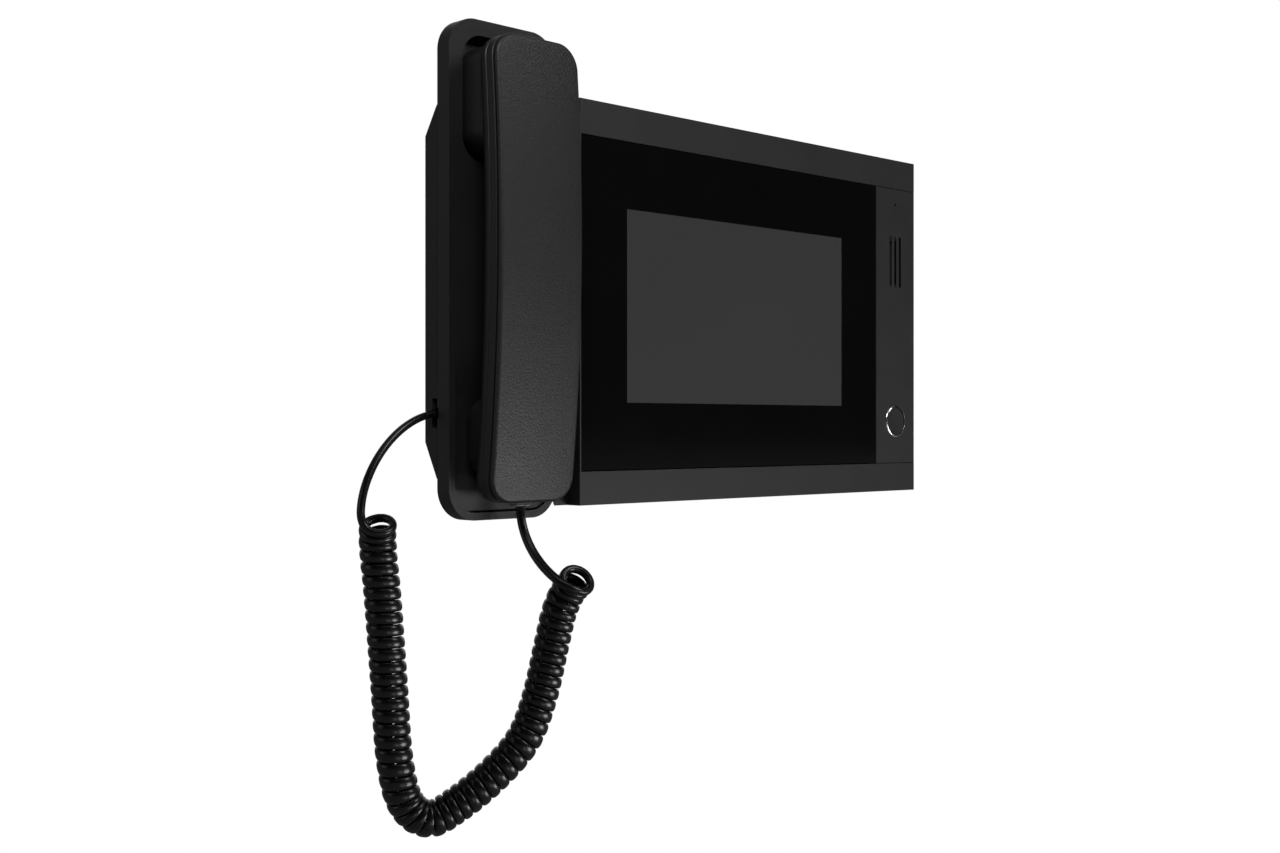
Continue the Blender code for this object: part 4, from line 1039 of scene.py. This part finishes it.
# Axis of the hanging coil: (along the hanging plane, height, towards the room), in millimetres
COIL_AXIS = (
    (-3.9, -91.3, 4.3), (-3.8, -93.3, 2.7), (-3.7, -95.6, 1.4), (-3.6, -98.0, 0.5),
    (-3.3, -101.5, 0.0), (-3.0, -106.3, 0.0), (-1.6, -120.0, 0.0), (1.0, -155.0, 0.0),
    (3.2, -185.0, 0.0), (7.6, -202.5, 0.0), (16.5, -209.5, 0.0), (27.5, -205.0, 0.0),
    (42.5, -194.0, 0.0), (55.0, -180.5, 0.0), (61.8, -164.0, 0.0), (66.8, -143.0, 0.0),
    (69.4, -131.4, 0.3), (71.0, -126.3, 0.9), (72.4, -122.7, 1.7), (73.7, -119.9, 2.8),
    (74.9, -117.9, 4.2), (75.9, -116.3, 6.0), (76.6, -115.3, 7.6),
)
LEAD_EXIT = Vector((HOUSING.x[0] + 1.2 * MM, -6.7 * MM, CORD_Z))
LEAD_SWING = Vector((-21.0 * MM, 0.0, -2.0 * MM))       # curve handles of the lead and its knee
KNEE_RISE = Vector((0.0, 0.0, 6.5 * MM))
KNEE_ABOVE = Vector((0.5 * MM, 0.0, 16.0 * MM))
KNEE_BELOW = Vector((0.0, 0.0, 4.0 * MM))
KNEE_BACK = 4.6 * MM
JOINT_EASE = 3.0 * MM
TAIL_END = Vector((PLUG.centre_x, -(PLUG.depth[0] + PLUG.depth[1]) / 2, PLUG.z[0] - GAP))
TAIL_SWING = 13.0 * MM
TAIL_DROP = Vector((0.0, 0.0, 18.0 * MM))


def ease(share):
    """Smooth step from 0 to 1."""
    share = min(max(share, 0.0), 1.0)
    return share * share * (3 - 2 * share)


def smooth_path(points, samples):
    """Catmull-Rom curve through the points, sampled evenly along its length."""
    padded = [2 * points[0] - points[1], *points, 2 * points[-1] - points[-2]]
    per_span = 40
    fine = []
    for a, b, c, d in zip(padded, padded[1:], padded[2:], padded[3:]):
        for i in range(per_span):
            t = i / per_span
            fine.append(0.5 * (2 * b + (c - a) * t + (2 * a - 5 * b + 4 * c - d) * t ** 2
                               + (3 * b - a - 3 * c + d) * t ** 3))
    fine.append(points[-1])
    lengths = [0.0]
    for a, b in zip(fine, fine[1:]):
        lengths.append(lengths[-1] + (b - a).length)
    even = []
    index = 0
    for i in range(samples + 1):
        target = lengths[-1] * i / samples
        while index < len(lengths) - 2 and lengths[index + 1] < target:
            index += 1
        span = lengths[index + 1] - lengths[index]
        even.append(fine[index].lerp(fine[index + 1], (target - lengths[index]) / span))
    return even, lengths[-1]


def coil_stations():
    """Even stations along the coil's axis, its length, and the hanging plane's facing direction."""
    across = (HANG_END - HANG_START).normalized()
    facing = across.cross(Vector((0.0, 0.0, 1.0))).normalized()
    points = [
        HANG_START + across * along * MM + Vector((0, 0, height * MM)) + facing * towards * MM
        for along, height, towards in COIL_AXIS
    ]
    axis, length = smooth_path(points, AXIS_SAMPLES)
    return axis, length, facing


def turn_room(distance):
    """Room along the axis for the turn at this distance from the coil's start."""
    place = distance * 1000
    for (near, first), (far, second) in zip(TURN_ROOM, TURN_ROOM[1:]):
        if place <= far:
            return (first + (second - first) * ease((place - near) / (far - near))) * MM
    return TURN_ROOM[-1][1] * MM


def turn_count(length, samples):
    """Turns wound up to each of the even stations along the axis."""
    step = length / samples
    turns = [0.0]
    for i in range(samples):
        turns.append(turns[-1] + step / turn_room((i + 0.5) * step))
    whole = round(turns[-1]) + END_TURN - START_TURN
    return [t * whole / turns[-1] for t in turns]


def axis_bend(axis, length, index):
    """Bend of the axis, from the directions of two short runs 11 stations ahead and behind."""
    last = len(axis) - 1
    ahead = (axis[min(index + 14, last)] - axis[min(index + 8, last - 6)]).normalized()
    behind = (axis[max(index - 8, 6)] - axis[max(index - 14, 0)]).normalized()
    return (ahead - behind) / (22 * length / last)


def coil_path():
    """(point, outward, width) along a left-handed coil."""
    axis, length, facing = coil_stations()
    last = len(axis) - 1
    wound = turn_count(length, last)
    turns = wound[-1]
    count = int(turns * STEPS_PER_TURN)
    slant = Quaternion(facing, TURN_SLANT)
    path = []
    index = 0
    for k in range(count + 1):
        turn = turns * k / count
        while index < last - 1 and wound[index + 1] < turn:
            index += 1
        share = (turn - wound[index]) / (wound[index + 1] - wound[index])
        centre = axis[index].lerp(axis[index + 1], share)
        tangent = (axis[min(index + 5, last)] - axis[max(index - 4, 0)]).normalized()
        side = tangent.cross(facing).normalized()
        front = side.cross(tangent).normalized()
        angle = tau * (turn + START_TURN)
        outward = slant @ (side * cos(angle) + front * sin(angle))
        room = min(max(1.0 - COIL_RADIUS * axis_bend(axis, length, index).dot(outward), 0.5), 1.4)
        full = turn_room(length * index / last) * room * TURN_FILL
        thin = LEAD_WIDTH if turn < turns / 2 else TAIL_WIDTH
        width = thin + (full - thin) * ease(min(turn, turns - turn) / 1.2 - 0.22)
        path.append((centre + outward * COIL_RADIUS, outward, width))
    return path


def bezier(a, b, c, d, count):
    points = []
    for i in range(count + 1):
        t = i / count
        s = 1 - t
        points.append(a * s ** 3 + b * 3 * s * s * t + c * 3 * s * t * t + d * t ** 3)
    return points


def wire_row(points, i, outward, width):
    """(point, outward, along, width) at one point of a run of wire."""
    run = (points[min(i + 1, len(points) - 1)] - points[max(i - 1, 0)]).normalized()
    out = (outward - run * outward.dot(run)).normalized()
    return points[i], out, run.cross(out).normalized(), width


def carried_rows(points, outward, width):
    """Rows along a run of wire that turn as little as possible from the given direction."""
    rows = []
    for i in range(len(points)):
        rows.append(wire_row(points, i, outward, width))
        outward = rows[-1][1]
    return rows


def wire_section(point, outward, along, width, thickness):
    """Flat-oval section: wide along the coil's axis, thin towards it."""
    section = []
    for i in range(WIRE_SIDES):
        c = cos(tau * i / WIRE_SIDES)
        s = sin(tau * i / WIRE_SIDES)
        u = copysign(abs(c) ** WIRE_SQUARENESS, c)
        v = copysign(abs(s) ** WIRE_SQUARENESS, s)
        section.append(point + outward * (thickness / 2) * u + along * (width / 2) * v)
    return section


def cord_rows():
    """Rows along the whole wire, with the number of rows in its lead and in its tail."""
    coil = coil_path()
    points = [point for point, out, width in coil]
    start, end = points[0], points[-1]
    leave = (start - points[1]).normalized()
    arrive = (end - points[-2]).normalized()
    knee = start + leave * KNEE_BACK + KNEE_RISE
    lead = bezier(LEAD_EXIT, LEAD_EXIT + LEAD_SWING, knee + KNEE_ABOVE, knee, 50)
    lead += bezier(knee, knee - KNEE_BELOW, start + leave * JOINT_EASE, start, 16)[1:]
    tail = bezier(end, end + arrive * TAIL_SWING, TAIL_END - TAIL_DROP, TAIL_END, 60)
    back = carried_rows(list(reversed(lead)), coil[0][1], LEAD_WIDTH)
    rows = [(point, out, -along, width) for point, out, along, width in reversed(back)][:-1]
    rows += [wire_row(points, i, out, width) for i, (point, out, width) in enumerate(coil)]
    rows += carried_rows(tail, coil[-1][1], TAIL_WIDTH)[1:]
    return rows, len(lead), len(tail)


def make_cord():
    """The whole wire, lead, coil and tail, as one mesh."""
    rows, lead_rows, tail_rows = cord_rows()
    tail_start = len(rows) - tail_rows
    form = bmesh.new()
    loops = []
    weights = []
    for i, row in enumerate(rows):
        swelling = ease(0.2 + 2 * (i - tail_start) / STEPS_PER_TURN)
        thickness = WIRE_THICKNESS + (TAIL_THICKNESS - WIRE_THICKNESS) * swelling
        loops.append([form.verts.new(point) for point in wire_section(*row, thickness)])
        weights += [ease((i - lead_rows) / (tail_start - lead_rows))] * WIRE_SIDES
    for a, b in zip(loops, loops[1:]):
        bridge(form, a, b)
    form.faces.new(list(reversed(loops[0])))
    form.faces.new(loops[-1])
    cord = object_from_bmesh("handset_cord", form)
    smooth(cord, 60)
    dress(cord, "cord", "coiled_cord")
    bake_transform(cord)
    return cord


# ---- carried CAD nodes

def dress_cad_nodes():
    """Every CAD node that stays gets its slot's material."""
    slots = {row["node"]: row["material_slot"] for row in frame["record"]["subparts"]}
    for node, item in frame["nodes"].items():
        item.data.materials.clear()
        item.data.materials.append(MATERIALS[slots[node]])


# ---- floor, light, camera

WHITE = (1.0, 1.0, 1.0, 1.0)
FLOOR_Z = CAD_BOX[0].z - 0.7
FLOOR_HALF_WIDTH = 40.0
FLOOR_BOUNCE = 0.11                 # what the white floor throws back up; the camera sees it at 1
# Light from all round, as (axis, cosines from the axis where it starts and is full, brightness):
# a little from behind the wall's plane, more from straight behind the object
WORLD_GLOWS = (
    ((0.0, 1.0, 0.0), (-0.1, 0.6), 0.09),
    ((0.7071, 0.7071, 0.0), (0.55, 0.95), 0.8),
)
LIGHT_CENTRE_Z = -0.05
# (name, degrees from +X towards the room, degrees up, distance, size, power)
SOFTBOXES = (
    ("low_right", 62, -22, 1.5, (0.75, 0.5), 8.0),
    ("high_right", 62, 38, 1.6, (0.5, 0.7), 4.7),
    ("front_low", 105, -25, 1.7, (0.6, 0.5), 1.05),
    ("front_high", 132, 40, 1.6, (0.8, 0.5), 10.0),
    ("overhead", 100, 72, 1.4, (1.2, 0.25), 1.0),
    ("left", 200, 15, 1.6, (0.8, 1.0), 0.95),
)
CAMERA_PLACE = (-0.588, -0.5242, -0.05385)
CAMERA_DIRECTION = Vector((1.0, 1.0, 0.0))
CAMERA_LENS = 44.6


def make_stage():
    """White paper floor that glows evenly, as white to the camera as the background."""
    form = bmesh.new()
    bmesh.ops.create_grid(form, x_segments=1, y_segments=1, size=FLOOR_HALF_WIDTH)
    floor = object_from_bmesh("floor", form)
    floor.location = (0, 0, FLOOR_Z)
    material = bpy.data.materials.new("pale_floor")
    material.use_nodes = True
    tree = material.node_tree
    tree.nodes.clear()
    seen = add_node(tree, "LightPath").outputs["Is Camera Ray"]
    glow = add_node(tree, "Emission", {"Color": WHITE, "Strength": ramp(tree, seen, FLOOR_BOUNCE, 1.0)})
    add_node(tree, "OutputMaterial", {"Surface": glow.outputs["Emission"]})
    floor.data.materials.append(material)


def world_glow(tree, direction, axis, span, brightness):
    """Brightness that grows from nothing to full as a direction turns towards the axis."""
    facing = add_node(tree, "VectorMath", {0: direction, 1: axis}, operation="DOT_PRODUCT")
    inputs = {"From Min": span[0], "From Max": span[1], "To Max": brightness,
              "Value": facing.outputs["Value"]}
    return add_node(tree, "MapRange", inputs, interpolation_type="SMOOTHSTEP").outputs["Result"]


def make_world():
    """Bright behind the object, dark on the camera's side; the camera itself sees plain white."""
    world = bpy.data.worlds.new("studio")
    bpy.context.scene.world = world
    world.use_nodes = True
    tree = world.node_tree
    tree.nodes.clear()
    direction = add_node(tree, "TexCoord").outputs["Generated"]
    wall_glow, object_glow = [world_glow(tree, direction, *row) for row in WORLD_GLOWS]
    strength = maths(tree, "ADD", wall_glow, object_glow)
    room = add_node(tree, "Background", {"Color": WHITE, "Strength": strength})
    white = add_node(tree, "Background", {"Color": WHITE})
    seen = add_node(tree, "LightPath").outputs["Is Camera Ray"]
    inputs = {"Fac": seen, 1: room.outputs["Background"], 2: white.outputs["Background"]}
    mix = add_node(tree, "MixShader", inputs)
    add_node(tree, "OutputWorld", {"Surface": mix.outputs["Shader"]})


def aim(name, data, place, direction):
    """Object for a lamp or a camera, looking in a direction."""
    item = add_object(name, data)
    item.location = place
    item.rotation_mode = "QUATERNION"
    item.rotation_quaternion = direction.to_track_quat("-Z", "Y")
    return item


def make_lights():
    """Softboxes round the object, by name."""
    lamps = {}
    middle = (CAD_BOX[0] + CAD_BOX[1]) / 2
    target = Vector((middle.x, middle.y, LIGHT_CENTRE_Z))
    for name, degrees, up, distance, size, power in SOFTBOXES:
        angle = radians(degrees)
        rise = radians(up)
        level = distance * cos(rise)
        place = Vector((middle.x + level * cos(angle), middle.y - level * sin(angle),
                        LIGHT_CENTRE_Z + distance * sin(rise)))
        data = bpy.data.lights.new(name, "AREA")
        data.shape = "RECTANGLE"
        data.size, data.size_y = size
        data.energy = power
        lamps[name] = aim(name, data, place, target - place)
    return lamps


def keep_light_off(lamp, item):
    """Flag a lamp off one piece."""
    receivers = bpy.data.collections.new(lamp.name + "_flag")
    receivers.objects.link(item)
    receivers.collection_objects[0].light_linking.link_state = "EXCLUDE"
    lamp.light_linking.receiver_collection = receivers


def make_camera():
    """Level camera to the left of the monitor, turned 45 degrees to the wall."""
    data = bpy.data.cameras.new("camera")
    data.lens = CAMERA_LENS
    data.sensor_width = 36.0
    bpy.context.scene.camera = aim("camera", data, CAMERA_PLACE, CAMERA_DIRECTION)


# ---- build

dress_cad_nodes()
make_handset_cover()
make_handset_band()
make_handset_rear()
make_plug()
make_cradle()
make_housing()
make_panel_frame()
make_glass()
make_strip()
make_key_ring()
make_key_cap()
round_bracket()
for number in SCREWS:
    make_screw(f"panel_screw_{number}", "base")
    make_screw(f"cradle_screw_{number}", "base")
    make_screw(f"board_screw_{number}", "base")
for number in (1, 2):
    make_screw(f"handset_screw_{number}", "handset")
handset_cord = make_cord()
remove_tools()
make_stage()
make_world()
keep_light_off(make_lights()["front_high"], handset_cord)
make_camera()
bpy.context.scene.view_settings.view_transform = "Standard"
